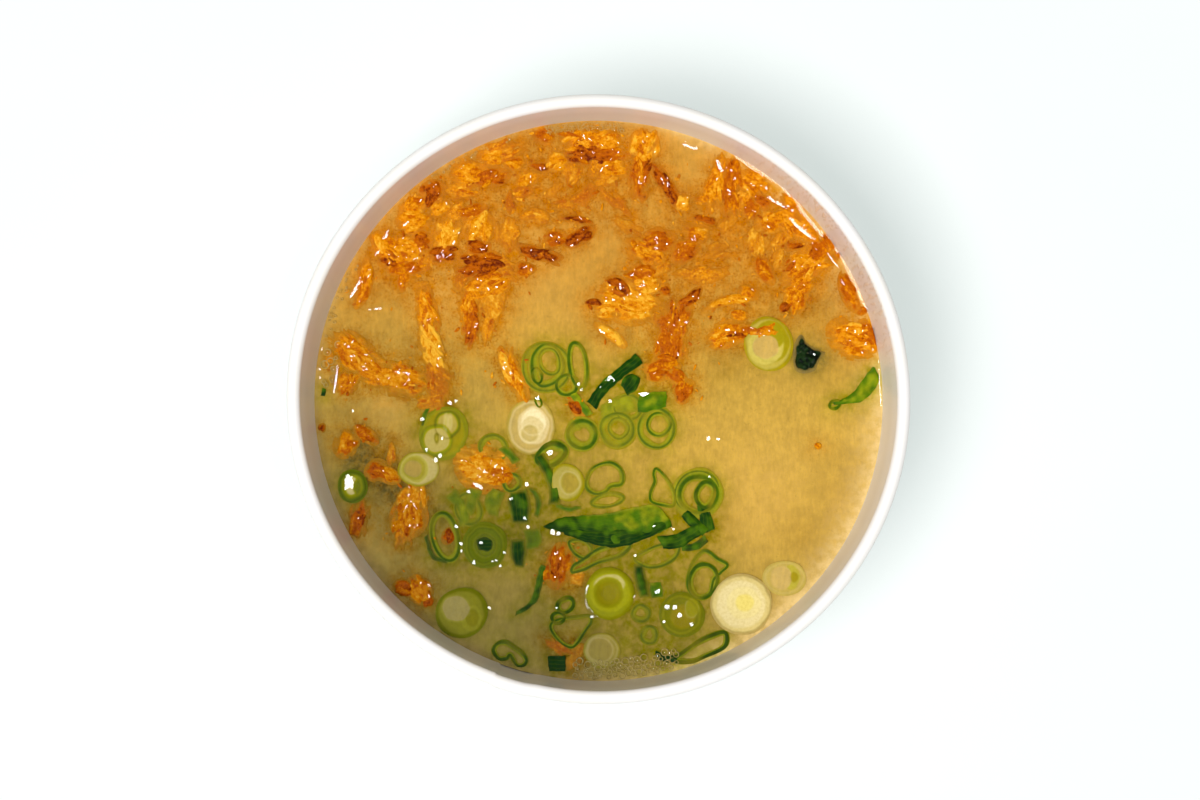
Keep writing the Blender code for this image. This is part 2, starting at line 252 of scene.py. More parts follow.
def smooth(value, low, high):
    """0 below low, 1 above high, and an even ease between."""
    t = np.clip((value - low) / (high - low), 0, 1)
    return t * t * (3 - 2 * t)


def disc_grid(columns, rows):
    """A grid drawn out over a disc of radius 1: points, faces, and its edge in order."""
    a, b = np.meshgrid(np.linspace(-1, 1, columns), np.linspace(-1, 1, rows))
    wide = np.abs(a) > np.abs(b)
    radius = np.where(wide, a, b)
    with np.errstate(divide="ignore", invalid="ignore"):
        turn = np.where(wide, np.pi / 4 * b / a, np.pi / 2 - np.pi / 4 * a / b)
    turn = np.nan_to_num(turn)
    x, y = radius * np.cos(turn), radius * np.sin(turn)
    return x.ravel(), y.ravel(), grid_faces(rows, columns), grid_edge(rows, columns)


def grid_edge(rows, columns):
    """Numbers of the outermost points of a grid, in order."""
    return (list(range(columns)) + [row * columns + columns - 1 for row in range(1, rows)]
            + [(rows - 1) * columns + i for i in range(columns - 2, -1, -1)]
            + [row * columns for row in range(rows - 2, 0, -1)])


def sew_edges(shape, edge, count):
    """Join the edges of the last two grids of the same number of points."""
    top, under = shape.count - 2 * count, shape.count - count
    for i, j in zip(edge, edge[1:] + edge[:1]):
        shape.faces.append([top + i, top + j, under + j, under + i])


def close_below(shape, edge, rows_below, middle):
    """Close a sheet that was just added with rows of points below its edge and a fan under them."""
    first = shape.count - len(shape.points[-1])
    ring = [first + i for i in edge]
    for row in rows_below:
        start = shape.count
        shape.add(row, [])
        new = [start + i for i in range(len(ring))]
        for i in range(len(ring)):
            j = (i + 1) % len(ring)
            shape.faces.append([ring[i], ring[j], new[j], new[i]])
        ring = new
    start = shape.count
    shape.add([middle], [])
    for i in range(len(ring)):
        shape.faces.append([ring[i], ring[(i + 1) % len(ring)], start])


# ---------------------------------------------------------------- nodes

def card(red, green, blue):
    """A tint as it looks on a white card, as a linear colour."""
    return tuple((c / 255) ** 2.2 for c in (red, green, blue)) + (1.0,)


def put(tree, kind, inputs=None, **settings):
    """Add a node; inputs gives each named input a value or the output that feeds it."""
    made = tree.nodes.new(kind)
    for key, value in settings.items():
        setattr(made, key, value)
    for key, value in (inputs or {}).items():
        if isinstance(value, bpy.types.NodeSocket):
            tree.links.new(value, made.inputs[key])
        else:
            made.inputs[key].default_value = value
    return made


def mix(tree, factor, first, second, blend="MIX"):
    """Mix two colours."""
    node = tree.nodes.new("ShaderNodeMix")
    node.data_type, node.blend_type = "RGBA", blend
    for index, value in ((0, factor), (6, first), (7, second)):
        if isinstance(value, bpy.types.NodeSocket):
            tree.links.new(value, node.inputs[index])
        else:
            node.inputs[index].default_value = value
    return node.outputs[2]


def calc(tree, operation, first, second=0.0, clamp=False):
    node = put(tree, "ShaderNodeMath", {0: first, 1: second}, operation=operation, use_clamp=clamp)
    return node.outputs[0]


def ease(tree, value, low, high, to_low=0.0, to_high=1.0):
    """Map a value from one span to another, with eased ends."""
    return put(
        tree, "ShaderNodeMapRange",
        {"Value": value, "From Min": low, "From Max": high, "To Min": to_low, "To Max": to_high},
        interpolation_type="SMOOTHSTEP",
    ).outputs["Result"]


def place_of(tree, stretch=(1.0, 1.0, 1.0)):
    """The place on the object, in millimetres, drawn out by stretch."""
    scale = tuple(1 / (MM * s) for s in stretch)
    coordinate = put(tree, "ShaderNodeTexCoord").outputs["Object"]
    return put(tree, "ShaderNodeMapping", {"Vector": coordinate, "Scale": scale}).outputs["Vector"]


def cloud(tree, place, size, detail=2.0, roughness=0.5):
    """Noise with lumps of a given size in millimetres."""
    inputs = {"Vector": place, "Scale": 1 / size, "Detail": detail, "Roughness": roughness}
    return put(tree, "ShaderNodeTexNoise", inputs).outputs["Fac"]


def grey(tree, value):
    """A value as a grey."""
    return put(tree, "ShaderNodeCombineColor", {0: value, 1: value, 2: value}).outputs[0]


def value_of(tree, name):
    """A point value of the piece."""
    return put(tree, "ShaderNodeAttribute", attribute_name=name).outputs["Fac"]


def bump(tree, height, distance, strength=1.0):
    inputs = {"Height": height, "Distance": distance * MM, "Strength": strength}
    return put(tree, "ShaderNodeBump", inputs).outputs["Normal"]


def new_group(name, inputs, outputs):
    """A shader node group with named sockets, and its inner nodes for them."""
    group = bpy.data.node_groups.new(name, "ShaderNodeTree")
    for socket_name, kind, default in inputs:
        socket = group.interface.new_socket(socket_name, in_out="INPUT", socket_type=kind)
        if default is not None:
            socket.default_value = default
    for socket_name, kind in outputs:
        group.interface.new_socket(socket_name, in_out="OUTPUT", socket_type=kind)
    return group, group.nodes.new("NodeGroupInput"), group.nodes.new("NodeGroupOutput")


def place_group(tree, group, inputs=None):
    node = tree.nodes.new("ShaderNodeGroup")
    node.node_tree = group
    for key, value in (inputs or {}).items():
        if isinstance(value, bpy.types.NodeSocket):
            tree.links.new(value, node.inputs[key])
        else:
            node.inputs[key].default_value = value
    return node


def new_material(name, **shader_values):
    """A material, its tree and its Principled shader with its constant values set."""
    material = bpy.data.materials.new(name)
    material.use_nodes = True
    tree = material.node_tree
    shader = tree.nodes["Principled BSDF"]
    for key, value in shader_values.items():
        shader.inputs[key.replace("_", " ")].default_value = value
    return material, tree, shader


FLOAT, COLOUR, VECTOR = "NodeSocketFloat", "NodeSocketColor", "NodeSocketVector"

# ---- tints, as on a white card
BROTH_AMBER = (193, 154, 66)
BROTH_WARM = (194, 141, 56)
# painted shade: the olive the broth is darkened to near the eater, on the left
BROTH_SHADE = (121, 107, 56)
# pale edge: the wall showing through shallow broth, with painted light stronger on the right
BROTH_PALE_LIT = (226, 194, 130)
BROTH_CLOUD = (218, 172, 88)
# what haze leaves of the broth's own colour
DEEP_HAZE = (222, 218, 190)
AMBER_HAZE = (240, 196, 28)
AMBER_GRIT = (222, 192, 120)
GREEN_HAZE = (190, 212, 14)
ONION_HAZE = (212, 222, 40)
WAKAME_HAZE = (154, 170, 200)
# the bowl and what floats
PAPER_COOL = (244, 242, 240)
PAPER_WARM = (245, 242, 236)
PAPER_FIBRE = (234, 230, 223)
# painted reflection: the warm light the soup throws on the inner wall
PAPER_SOUP_BOUNCE = (231, 224, 213)
GREASE = (235, 200, 140)
ONION_IVORY = (255, 238, 184)
ONION_YELLOW = (255, 234, 124)
ONION_LIME = (172, 172, 14)
ONION_GREEN = (92, 114, 0)
ONION_LINE = (176, 176, 90)
ONION_SHADE = (226, 218, 190)
LEAF_LIME = (150, 154, 22)
LEAF_GRASS = (78, 114, 0)
LEAF_DEEP = (22, 60, 0)
LEAF_SKIN = (68, 86, 0)
LEAF_RIB = (120, 136, 20)
LEAF_PATCH = (170, 186, 110)
WAKAME_DARK = (8, 18, 12)
WAKAME_LIGHT = (34, 54, 26)
FRIED_PALE = (236, 174, 50)
FRIED_AMBER = (216, 134, 0)
FRIED_RUST = (178, 88, 0)
FRIED_DARK = (104, 38, 0)
# painted reflection: the bright rim round a bubble
FROTH_PALE_SHEEN = (186, 174, 122)


# painted shade: the soup is darkened towards the eater, on the left, and is darkest this far along
SHADE_END = -46.0                             # how far towards the eater, on the left, the soup is dullest


def make_broth_tone():
    """The broth's colour by place: amber right of the middle, olive near the eater on the left as painted
    shade.
    """
    group, _, out = new_group("broth_tone", (), (("Color", COLOUR), ("Light", FLOAT)))
    place = place_of(group)
    parts = put(group, "ShaderNodeSeparateXYZ", {0: place})
    x, y = parts.outputs["X"], parts.outputs["Y"]
    light_side = calc(group, "ADD", calc(group, "MULTIPLY", x, 0.5), calc(group, "MULTIPLY", y, 0.87))
    wash = calc(group, "MULTIPLY", calc(group, "SUBTRACT", cloud(group, place, 16.0, 3.0), 0.5), 22.0)
    light_side = calc(group, "ADD", light_side, wash)
    base = mix(group, ease(group, y, -2.0, 30.0), card(*BROTH_AMBER), card(*BROTH_WARM))
    # painted shade: darker towards the lower left; Light is the same painted shade, for darkening what
    # floats
    shade = put(
        group, "ShaderNodeMapRange", {"Value": light_side, "From Min": 0.0, "From Max": SHADE_END},
    ).outputs["Result"]
    base = mix(group, shade, base, card(*BROTH_SHADE))
    group.links.new(calc(group, "SUBTRACT", 1.0, calc(group, "MULTIPLY", shade, 0.45)), out.inputs["Light"])
    mottle = ease(group, cloud(group, place, 2.6, 4.0, 0.62), 0.3, 0.7, 0.90, 1.10)
    drawn_out = place_of(group, (1.0, 3.0, 1.0))
    streak = ease(group, cloud(group, drawn_out, 0.6, 2.0, 0.6), 0.3, 0.7, 0.93, 1.07)
    speckle = calc(group, "MULTIPLY", mottle, streak)
    fleck = ease(group, cloud(group, place_of(group), 0.7, 1.0), 0.66, 0.78, 1.0, 0.86)
    speckle = calc(group, "MULTIPLY", speckle, fleck)
    group.links.new(mix(group, 1.0, base, grey(group, speckle), "MULTIPLY"), out.inputs["Color"])
    return group


def make_broth_veil(broth_tone):
    """What broth does to the colour of something in it: it takes the painted shade of the soup round it,
    and the deeper it lies, the nearer it comes to the tone round it, tinted by its own haze."""
    group, into, out = new_group(
        "broth_veil",
        (("Color", COLOUR, None), ("Haze", COLOUR, None), ("Haze share", FLOAT, 0.5),
         ("Depth for a third", FLOAT, 0.85), ("Least", FLOAT, 0.0)),
        (("Color", COLOUR),),
    )
    parts = put(group, "ShaderNodeSeparateXYZ", {0: place_of(group)})
    depth = calc(group, "MAXIMUM", calc(group, "SUBTRACT", LEVEL, parts.outputs["Z"]), 0.0)
    depth = calc(group, "DIVIDE", depth, SQUEEZE)
    share = calc(group, "DIVIDE", depth, into.outputs["Depth for a third"])
    clear = calc(group, "POWER", math.e, calc(group, "MULTIPLY", share, -1.0))
    veil = calc(group, "MAXIMUM", calc(group, "SUBTRACT", 1.0, clear), into.outputs["Least"])
    soup = place_group(group, broth_tone).outputs
    tone = mix(group, into.outputs["Haze share"], soup["Color"], into.outputs["Haze"], "MULTIPLY")
    # painted shade: the colour is darkened as the broth's tone is darkened at this place
    lit = mix(group, 1.0, into.outputs["Color"], grey(group, soup["Light"]), "MULTIPLY")
    group.links.new(mix(group, veil, lit, tone), out.inputs["Color"])
    return group


def make_wet_relief():
    """Small lumps in a wet surface, for the height of a bump."""
    group, into, out = new_group(
        "wet_relief",
        (("Lump size", FLOAT, 0.6), ("Grain size", FLOAT, 0.15), ("Grain share", FLOAT, 0.3)),
        (("Height", FLOAT),),
    )
    place = place_of(group)
    lump = put(group, "ShaderNodeTexNoise", {
        "Vector": place, "Scale": calc(group, "DIVIDE", 1.0, into.outputs["Lump size"]), "Detail": 2.0,
    }).outputs["Fac"]
    grain = put(group, "ShaderNodeTexNoise", {
        "Vector": place, "Scale": calc(group, "DIVIDE", 1.0, into.outputs["Grain size"]), "Detail": 1.0,
    }).outputs["Fac"]
    total = calc(group, "ADD", lump, calc(group, "MULTIPLY", grain, into.outputs["Grain share"]))
    group.links.new(total, out.inputs["Height"])
    return group


def make_even_light():
    """Turns normals towards the sky, as cloudy broth lights what it soaks from all round."""
    group, into, out = new_group(
        "even_light", (("Normal", VECTOR, None), ("Share", FLOAT, 0.5)), (("Normal", VECTOR),),
    )
    kept = calc(group, "SUBTRACT", 1.0, into.outputs["Share"])
    own = put(group, "ShaderNodeVectorMath", {0: into.outputs["Normal"], "Scale": kept}, operation="SCALE")
    up = put(group, "ShaderNodeCombineXYZ", {"Z": into.outputs["Share"]})
    both = put(group, "ShaderNodeVectorMath", {0: own.outputs[0], 1: up.outputs[0]}, operation="ADD")
    unit = put(group, "ShaderNodeVectorMath", {0: both.outputs[0]}, operation="NORMALIZE")
    group.links.new(unit.outputs[0], out.inputs["Normal"])
    return group


broth_tone = make_broth_tone()
broth_veil = make_broth_veil(broth_tone)
wet_relief = make_wet_relief()
even_light = make_even_light()


def soaked(tree, shader, normal, share=0.5):
    """Feed a normal to the shader, evened out."""
    even = place_group(tree, even_light, {"Normal": normal, "Share": share})
    tree.links.new(even.outputs["Normal"], shader.inputs["Normal"])


def make_paper(name, inside):
    """Coated white board: faint fibres, a soft sheen, and inside a warm cast from the soup, painted in below
    the rim as reflected light.
    """
    roughness = 0.26 if inside else 0.42
    material, tree, shader = new_material(name, IOR=1.5)
    place = place_of(tree, (1.0, 1.0, 1.6))
    fibres = cloud(tree, place, 0.9, 4.0, 0.65)
    patches = cloud(tree, place, 9.0, 2.0)
    tint = mix(tree, ease(tree, patches, 0.3, 0.7), card(*PAPER_COOL), card(*PAPER_WARM))
    tint = mix(tree, ease(tree, fibres, 0.55, 0.8, 0.0, 0.25), tint, card(*PAPER_FIBRE))
    if inside:
        height = put(tree, "ShaderNodeSeparateXYZ", {0: place_of(tree)}).outputs["Z"]
        # painted reflection of the soup: the inner wall turns warm further below the rim
        soup_bounce = ease(tree, height, HEIGHT - 1.0, HEIGHT - 6.5)
        tint = mix(tree, soup_bounce, tint, card(*PAPER_SOUP_BOUNCE))
        greasy = value_of(tree, "grease")
        streak = ease(tree, cloud(tree, place_of(tree, (0.6, 0.6, 5.0)), 1.2, 2.0), 0.5, 0.66)
        film = calc(tree, "MULTIPLY", greasy, streak)
        tint = mix(tree, calc(tree, "MULTIPLY", film, 0.25), tint, card(*GREASE))
        tree.links.new(ease(tree, film, 0.0, 0.6, roughness, 0.08), shader.inputs["Roughness"])
        height = calc(tree, "ADD", calc(tree, "MULTIPLY", fibres, 0.12), film)
        tree.links.new(bump(tree, height, 0.12, 0.6), shader.inputs["Normal"])
    else:
        dull = ease(tree, fibres, 0.2, 0.8, roughness, roughness + 0.12)
        tree.links.new(dull, shader.inputs["Roughness"])
        tree.links.new(bump(tree, fibres, 0.03, 0.5), shader.inputs["Normal"])
    tree.links.new(tint, shader.inputs["Base Color"])
    return material


def make_broth():
    """The cloudy body of the soup, with haze from what lies near it."""
    material, tree, shader = new_material("cloudy_broth", Roughness=0.6, Specular_IOR_Level=0.0)
    tone = place_group(tree, broth_tone).outputs["Color"]
    for name, tint, most, blend, size, low, high, least in (
        ("cloudy", BROTH_CLOUD, 0.8, "MIX", 1.6, 0.3, 0.7, 0.5),
        ("deep", DEEP_HAZE, 1.0, "MULTIPLY", 1.6, 0.3, 0.7, 0.5),
        ("pale_edge_and_painted_light", BROTH_PALE_LIT, 0.9, "MIX", 1.6, 0.3, 0.7, 0.5),
        ("amber_haze", AMBER_HAZE, 1.0, "MULTIPLY", 1.8, 0.3, 0.7, 0.35),
        ("amber_haze", AMBER_GRIT, 1.0, "MULTIPLY", 0.4, 0.5, 0.66, 0.0),
        ("green_haze", GREEN_HAZE, 1.0, "MULTIPLY", 1.8, 0.3, 0.7, 0.35),
        ("dark_haze", WAKAME_HAZE, 1.0, "MULTIPLY", 1.2, 0.3, 0.7, 0.35),
    ):
        patch = ease(tree, cloud(tree, place_of(tree), size, 4.0, 0.65), low, high, least, 1.25)
        share = calc(tree, "MULTIPLY", value_of(tree, name), patch)
        share = calc(tree, "MULTIPLY", share, most, clamp=True)
        tone = mix(tree, share, tone, card(*tint), blend)
    tree.links.new(tone, shader.inputs["Base Color"])
    tree.links.new(bump(tree, cloud(tree, place_of(tree), 1.5, 3.0), 0.15, 0.4), shader.inputs["Normal"])
    return material


def make_clear(name, ior, roughness, ripple_size, ripple):
    """Clear and wet: it mirrors a little, more at a low angle, and lets the rest through."""
    material = bpy.data.materials.new(name)
    material.use_nodes = True
    tree = material.node_tree
    tree.nodes.remove(tree.nodes["Principled BSDF"])
    normal = bump(tree, cloud(tree, place_of(tree), ripple_size, 2.0, 0.5), ripple, 1.0)
    share = put(tree, "ShaderNodeFresnel", {"IOR": ior, "Normal": normal}).outputs[0]
    front = calc(tree, "SUBTRACT", 1.0, put(tree, "ShaderNodeNewGeometry").outputs["Backfacing"])
    share = calc(tree, "MULTIPLY", share, front)
    clear = put(tree, "ShaderNodeBsdfTransparent", {"Color": (1.0, 1.0, 1.0, 1.0)}).outputs[0]
    gloss = put(tree, "ShaderNodeBsdfGlossy", {
        "Color": (1.0, 1.0, 1.0, 1.0), "Roughness": roughness, "Normal": normal,
    }).outputs[0]
    both = put(tree, "ShaderNodeMixShader", {0: share, 1: clear, 2: gloss}).outputs[0]
    tree.links.new(both, tree.nodes["Material Output"].inputs["Surface"])
    return material


def veiled(tree, tint, haze, haze_share, depth, least=0.0):
    """A tint as it shows through the broth over it."""
    if not isinstance(haze, bpy.types.NodeSocket):
        haze = card(*haze)
    return place_group(tree, broth_veil, {
        "Color": tint, "Haze": haze, "Haze share": haze_share, "Depth for a third": depth, "Least": least,
    }).outputs["Color"]


def make_onion():
    """Cut white of the onion: ivory to leaf green by layer, wet, clearer between the layers."""
    material, tree, shader = new_material("onion_flesh", Roughness=0.5, IOR=1.36, Specular_IOR_Level=0.06)
    green, clear, line = value_of(tree, "green"), value_of(tree, "clear"), value_of(tree, "line")
    tint = mix(tree, ease(tree, green, 0.0, 0.45), card(*ONION_IVORY), card(*ONION_LIME))
    tint = mix(tree, ease(tree, green, 0.4, 1.0), tint, card(*ONION_GREEN))
    warm = calc(tree, "MULTIPLY", value_of(tree, "warm"), 1.0, clamp=True)
    tint = mix(tree, warm, tint, card(*ONION_YELLOW))
    mottle = ease(tree, cloud(tree, place_of(tree), 0.5, 3.0, 0.6), 0.35, 0.7, 0.0, 0.45)
    tint = mix(tree, mottle, tint, card(*ONION_SHADE), "MULTIPLY")
    haze = mix(tree, ease(tree, green, 0.6, 1.0), card(*ONION_HAZE), card(*GREEN_HAZE))
    tint = veiled(tree, tint, haze, ease(tree, green, 0.0, 0.55), 1.0,
                  calc(tree, "ADD", calc(tree, "MULTIPLY", clear, 0.88), 0.12))
    tint = mix(tree, calc(tree, "MULTIPLY", line, 0.8, clamp=True), tint, card(*ONION_LINE), "MULTIPLY")
    pale = calc(tree, "MULTIPLY", line, -0.22, clamp=True)
    tint = mix(tree, pale, tint, card(*ONION_IVORY))
    tree.links.new(tint, shader.inputs["Base Color"])
    relief = place_group(tree, wet_relief, {"Lump size": 0.6, "Grain size": 0.2, "Grain share": 0.3})
    soaked(tree, shader, bump(tree, relief.outputs["Height"], 0.05, 0.6))
    return material


def make_leaf():
    """Spring onion leaf: dark skin, lime inside, fine ribs along the leaf."""
    material, tree, shader = new_material("green_leaf", Roughness=0.5, IOR=1.38, Specular_IOR_Level=0.05)
    tone, skin = value_of(tree, "tone"), value_of(tree, "skin")
    tint = mix(tree, ease(tree, tone, 0.0, 0.5), card(*LEAF_LIME), card(*LEAF_GRASS))
    tint = mix(tree, ease(tree, tone, 0.5, 1.0), tint, card(*LEAF_DEEP))
    tint = mix(tree, calc(tree, "MULTIPLY", skin, 0.8, clamp=True), tint, card(*LEAF_SKIN))
    rib = value_of(tree, "rib")
    ribs = calc(tree, "ABSOLUTE", calc(tree, "SINE", calc(tree, "MULTIPLY", rib, math.pi)))
    tint = mix(tree, ease(tree, ribs, 0.5, 0.0, 0.0, 0.16), tint, card(*LEAF_RIB))
    patch = ease(tree, cloud(tree, place_of(tree), 1.2, 4.0, 0.6), 0.35, 0.7, 0.0, 0.6)
    tint = mix(tree, patch, tint, card(*LEAF_PATCH), "MULTIPLY")
    tint = veiled(tree, tint, GREEN_HAZE, 0.9, 0.8, value_of(tree, "fade"))
    tree.links.new(tint, shader.inputs["Base Color"])
    relief = place_group(tree, wet_relief, {"Lump size": 0.8, "Grain size": 0.25, "Grain share": 0.4})
    height = calc(tree, "ADD", relief.outputs["Height"], calc(tree, "MULTIPLY", ribs, 0.2))
    soaked(tree, shader, bump(tree, height, 0.09, 0.8))
    return material


def make_wakame():
    """Wakame: near black green, slippery."""
    material, tree, shader = new_material(
        "wakame_leaf", Roughness=0.4, IOR=1.4, Specular_IOR_Level=0.1,
    )
    patch = ease(tree, cloud(tree, place_of(tree), 1.1, 3.0), 0.3, 0.7)
    tint = mix(tree, patch, card(*WAKAME_DARK), card(*WAKAME_LIGHT))
    tree.links.new(veiled(tree, tint, WAKAME_HAZE, 0.8, 0.55), shader.inputs["Base Color"])
    relief = place_group(tree, wet_relief, {"Lump size": 0.8, "Grain size": 0.2, "Grain share": 0.4})
    tree.links.new(bump(tree, relief.outputs["Height"], 0.12, 0.8), shader.inputs["Normal"])
    return material


def make_fried_onion():
    """Fried onion: amber where thin, red-brown at thick and charred edges, glazed with oil."""
    material, tree, shader = new_material(
        "fried_onion", Roughness=0.5, IOR=1.42, Specular_IOR_Level=0.04,
    )
    place = place_of(tree)
    patch = calc(tree, "MULTIPLY", calc(tree, "SUBTRACT", cloud(tree, place, 0.5, 4.0, 0.7), 0.5), 1.7)
    tone = calc(tree, "ADD", value_of(tree, "tone"), patch)
    tint = mix(tree, ease(tree, tone, 0.0, 0.4), card(*FRIED_PALE), card(*FRIED_AMBER))
    tint = mix(tree, ease(tree, tone, 0.4, 0.8), tint, card(*FRIED_RUST))
    tint = mix(tree, ease(tree, tone, 0.85, 1.4), tint, card(*FRIED_DARK))
    tree.links.new(veiled(tree, tint, AMBER_HAZE, 0.9, 0.5), shader.inputs["Base Color"])
    relief = place_group(tree, wet_relief, {"Lump size": 0.5, "Grain size": 0.2, "Grain share": 0.4})
    soaked(tree, shader, bump(tree, relief.outputs["Height"], 0.13, 1.0), 0.4)
    return material


def make_froth_sheen():
    """The skin of a bubble where it meets the soup, its paleness a painted reflection of a bubble's bright
    rim.
    """
    material, tree, shader = new_material("froth_skin_sheen", Roughness=0.25, IOR=1.36)
    patch = ease(tree, cloud(tree, place_of(tree), 0.5, 2.0), 0.35, 0.65, 0.0, 0.7)
    tone = place_group(tree, broth_tone).outputs["Color"]
    tint = mix(tree, calc(tree, "MULTIPLY", patch, 0.5), tone, card(*FROTH_PALE_SHEEN))
    tree.links.new(tint, shader.inputs["Base Color"])
    tree.links.new(bump(tree, patch, 0.05, 0.5), shader.inputs["Normal"])
    return material


paper_inside = make_paper("paper_inside", inside=True)
paper_outside = make_paper("paper_outside", inside=False)
cloudy_broth = make_broth()
clear_film = make_clear("clear_film", 1.22, 0.03, 5.0, 0.05)
clear_drop = make_clear("clear_drop", 1.4, 0.05, 0.8, 0.03)
onion_flesh = make_onion()
green_leaf = make_leaf()
wakame_leaf = make_wakame()
fried_onion = make_fried_onion()
froth_skin_sheen = make_froth_sheen()


# ---------------------------------------------------------------- bowl

def board_radius(z):
    """Radius of the middle of the bowl's board at height z."""
    curl_start = CURL_CENTRE - (CURL_RADIUS - BOARD / 2)
    return FOOT_RADIUS + (curl_start - FOOT_RADIUS) / (HEIGHT - CURL_RADIUS) * z


def oval_swell(angle, z):
    return OVAL * (np.maximum(z, 0) / HEIGHT) ** OVAL_POWER * np.cos(2 * (angle - OVAL_ANGLE))


def board_faces(middle):
    """Both faces of a board along a middle line of (radius, height) points, and which is which."""
    middle = np.asarray(middle, float)
    along = np.diff(middle, axis=0)
    along /= np.hypot(*along.T)[:, None]
    across = np.stack([-along[:, 1], along[:, 0]], -1)
    before, after = np.vstack([across[:1], across]), np.vstack([across, across[-1:]])
    mitre = before + after
    mitre /= np.hypot(*mitre.T)[:, None]
    mitre *= (BOARD / 2 / np.sum(mitre * before, 1))[:, None]
    left, right = middle + mitre, middle - mitre
    return np.vstack([left, right[::-1]]), np.repeat([1.0, 0.0], len(middle))


def turn_angles():
    """Angles round the bowl, closer together at the side seam."""
    even = np.linspace(0, 2 * math.pi, TURN_STEPS, endpoint=False)
    clear = np.abs(even - SEAM_ANGLE) > SEAM_HALF * 1.5
    fine = SEAM_ANGLE + np.linspace(-1.45, 1.45, 36) * SEAM_HALF
    return np.sort(np.concatenate([even[clear], fine]))


def seam_height(angle):
    """How far the overlap of the seam stands up: a clean step at one edge, a soft one at the other."""
    from_edge = angle - (SEAM_ANGLE - SEAM_HALF)
    rise = smooth(from_edge, 0.0, SEAM_EDGE)
    fall = 1 - smooth(angle, SEAM_ANGLE + SEAM_HALF * 0.2, SEAM_ANGLE + SEAM_HALF)
    return rise * fall


def turned(shape, profile, angles, seam=0.0, side=None, closed=True, **values):
    """Turn a (radius, height) profile about the bowl's axis."""
    radius, z = profile.T
    share = np.minimum(radius / board_radius(z), 1.0)[:, None]
    push = np.zeros(len(radius)) if side is None else 1 - 2 * side
    wide = radius[:, None] + oval_swell(angles[None, :], z[:, None]) * share
    wide = wide + seam * seam_height(angles)[None, :] * push[:, None]
    tall = np.broadcast_to(z[:, None], wide.shape)
    points = np.stack([wide * np.cos(angles), wide * np.sin(angles), tall], -1)
    shape.add(points, grid_faces(len(radius), len(angles), closed, True), **values)


def make_bowl_wall():
    """The side of the bowl: rolled rim, tapered wall with its seam, and folded foot."""
    roll, curl_z = CURL_RADIUS - BOARD / 2, HEIGHT - CURL_RADIUS
    middle = []
    for i in range(CURL_STEPS + 1):
        angle = math.radians(180.0 - CURL_TURN * (1 - i / CURL_STEPS))
        middle.append((CURL_CENTRE + roll * math.cos(angle), curl_z + roll * math.sin(angle)))
    middle += [(board_radius(z), z) for z in np.linspace(curl_z, 1.2, 22)[1:]]
    fold = 2 * (BOARD + GAP)
    middle += [
        (board_radius(0.5), 0.6), (board_radius(0) - 0.4, 0.3), (board_radius(0) - 0.8, 0.25),
        (board_radius(0) - fold + 0.4, 0.3), (board_radius(0.5) - fold, 0.6),
        (board_radius(1.2) - fold, 1.2),
        (board_radius(FOLD_HEIGHT) - fold, FOLD_HEIGHT),
    ]
    profile, side = board_faces(middle)
    angles = turn_angles()
    shape = Shape("grease", "inner")
    inner = np.broadcast_to(inner_side(profile)[:, None], (len(profile), len(angles)))
    away = np.abs((angles - GREASE_ANGLE + math.pi) % (2 * math.pi) - math.pi)
    over_soup = smooth(profile[:, 1], LEVEL - 1, LEVEL + 2)[:, None]
    greasy = (1 - smooth(away, 0.1, GREASE_SPREAD))[None, :] * over_soup
    turned(shape, profile, angles, SEAM_STEP, side, grease=greasy * inner, inner=inner)
    return shape


GREASE_ANGLE = math.radians(32.0)
GREASE_SPREAD = math.radians(38.0)
SEAM_STEP = 0.22


def inner_side(profile):
    """1 for the points of the bowl's soup side."""
    radius, z = profile.T
    return ((radius < board_radius(z)) & (z > FLOOR_TOP)).astype(float)


def finish_bowl():
    wall = make_bowl_wall().finish("bowl_side", paper_outside, ("bowl_wall",), "paper", sharp=50)
    wall.data.materials.append(paper_inside)
    inner = np.zeros(len(wall.data.vertices), np.float32)
    wall.data.attributes["inner"].data.foreach_get("value", inner)
    for face in wall.data.polygons:
        if all(inner[v] > 0.5 for v in face.vertices):
            face.material_index = 1
    drop, floor, bend = BOARD + GAP, FLOOR_TOP - BOARD / 2, 0.8
    middle = [(r, floor) for r in (0.01, 4.0, 12.0, 22.0, 32.0, 40.0)] + [
        (board_radius(floor) - drop - bend, floor), (board_radius(floor) - drop - 0.35, floor - 0.15),
        (board_radius(floor - bend) - drop, floor - bend), (board_radius(4.0) - drop, 4.0),
        (board_radius(base_low[2]) - drop, base_low[2]),
    ]
    profile, _ = board_faces(middle)
    shape = Shape()
    turned(shape, profile, turn_angles())
    shape.finish("bowl_floor", paper_outside, ("bowl_base",), "paper", sharp=50)


finish_bowl()


def inner_radius(angle, z):
    """Inside of the bowl's wall."""
    return board_radius(z) - BOARD / 2 + oval_swell(angle, z)


# ---------------------------------------------------------------- what floats

class Floating:
    """Outlines of what floats, kept for the surface and the haze round them."""

    def __init__(self):
        self.rows = []

    def add(self, outline, climb=0.0, green=0.0, amber=0.0, filled=True, reach=0.45):
        self.rows.append((np.asarray(outline, float), climb, reach, green, amber, filled))


afloat = Floating()
# places of wet points: (x, y, height over the soup, half width)
gleams = []


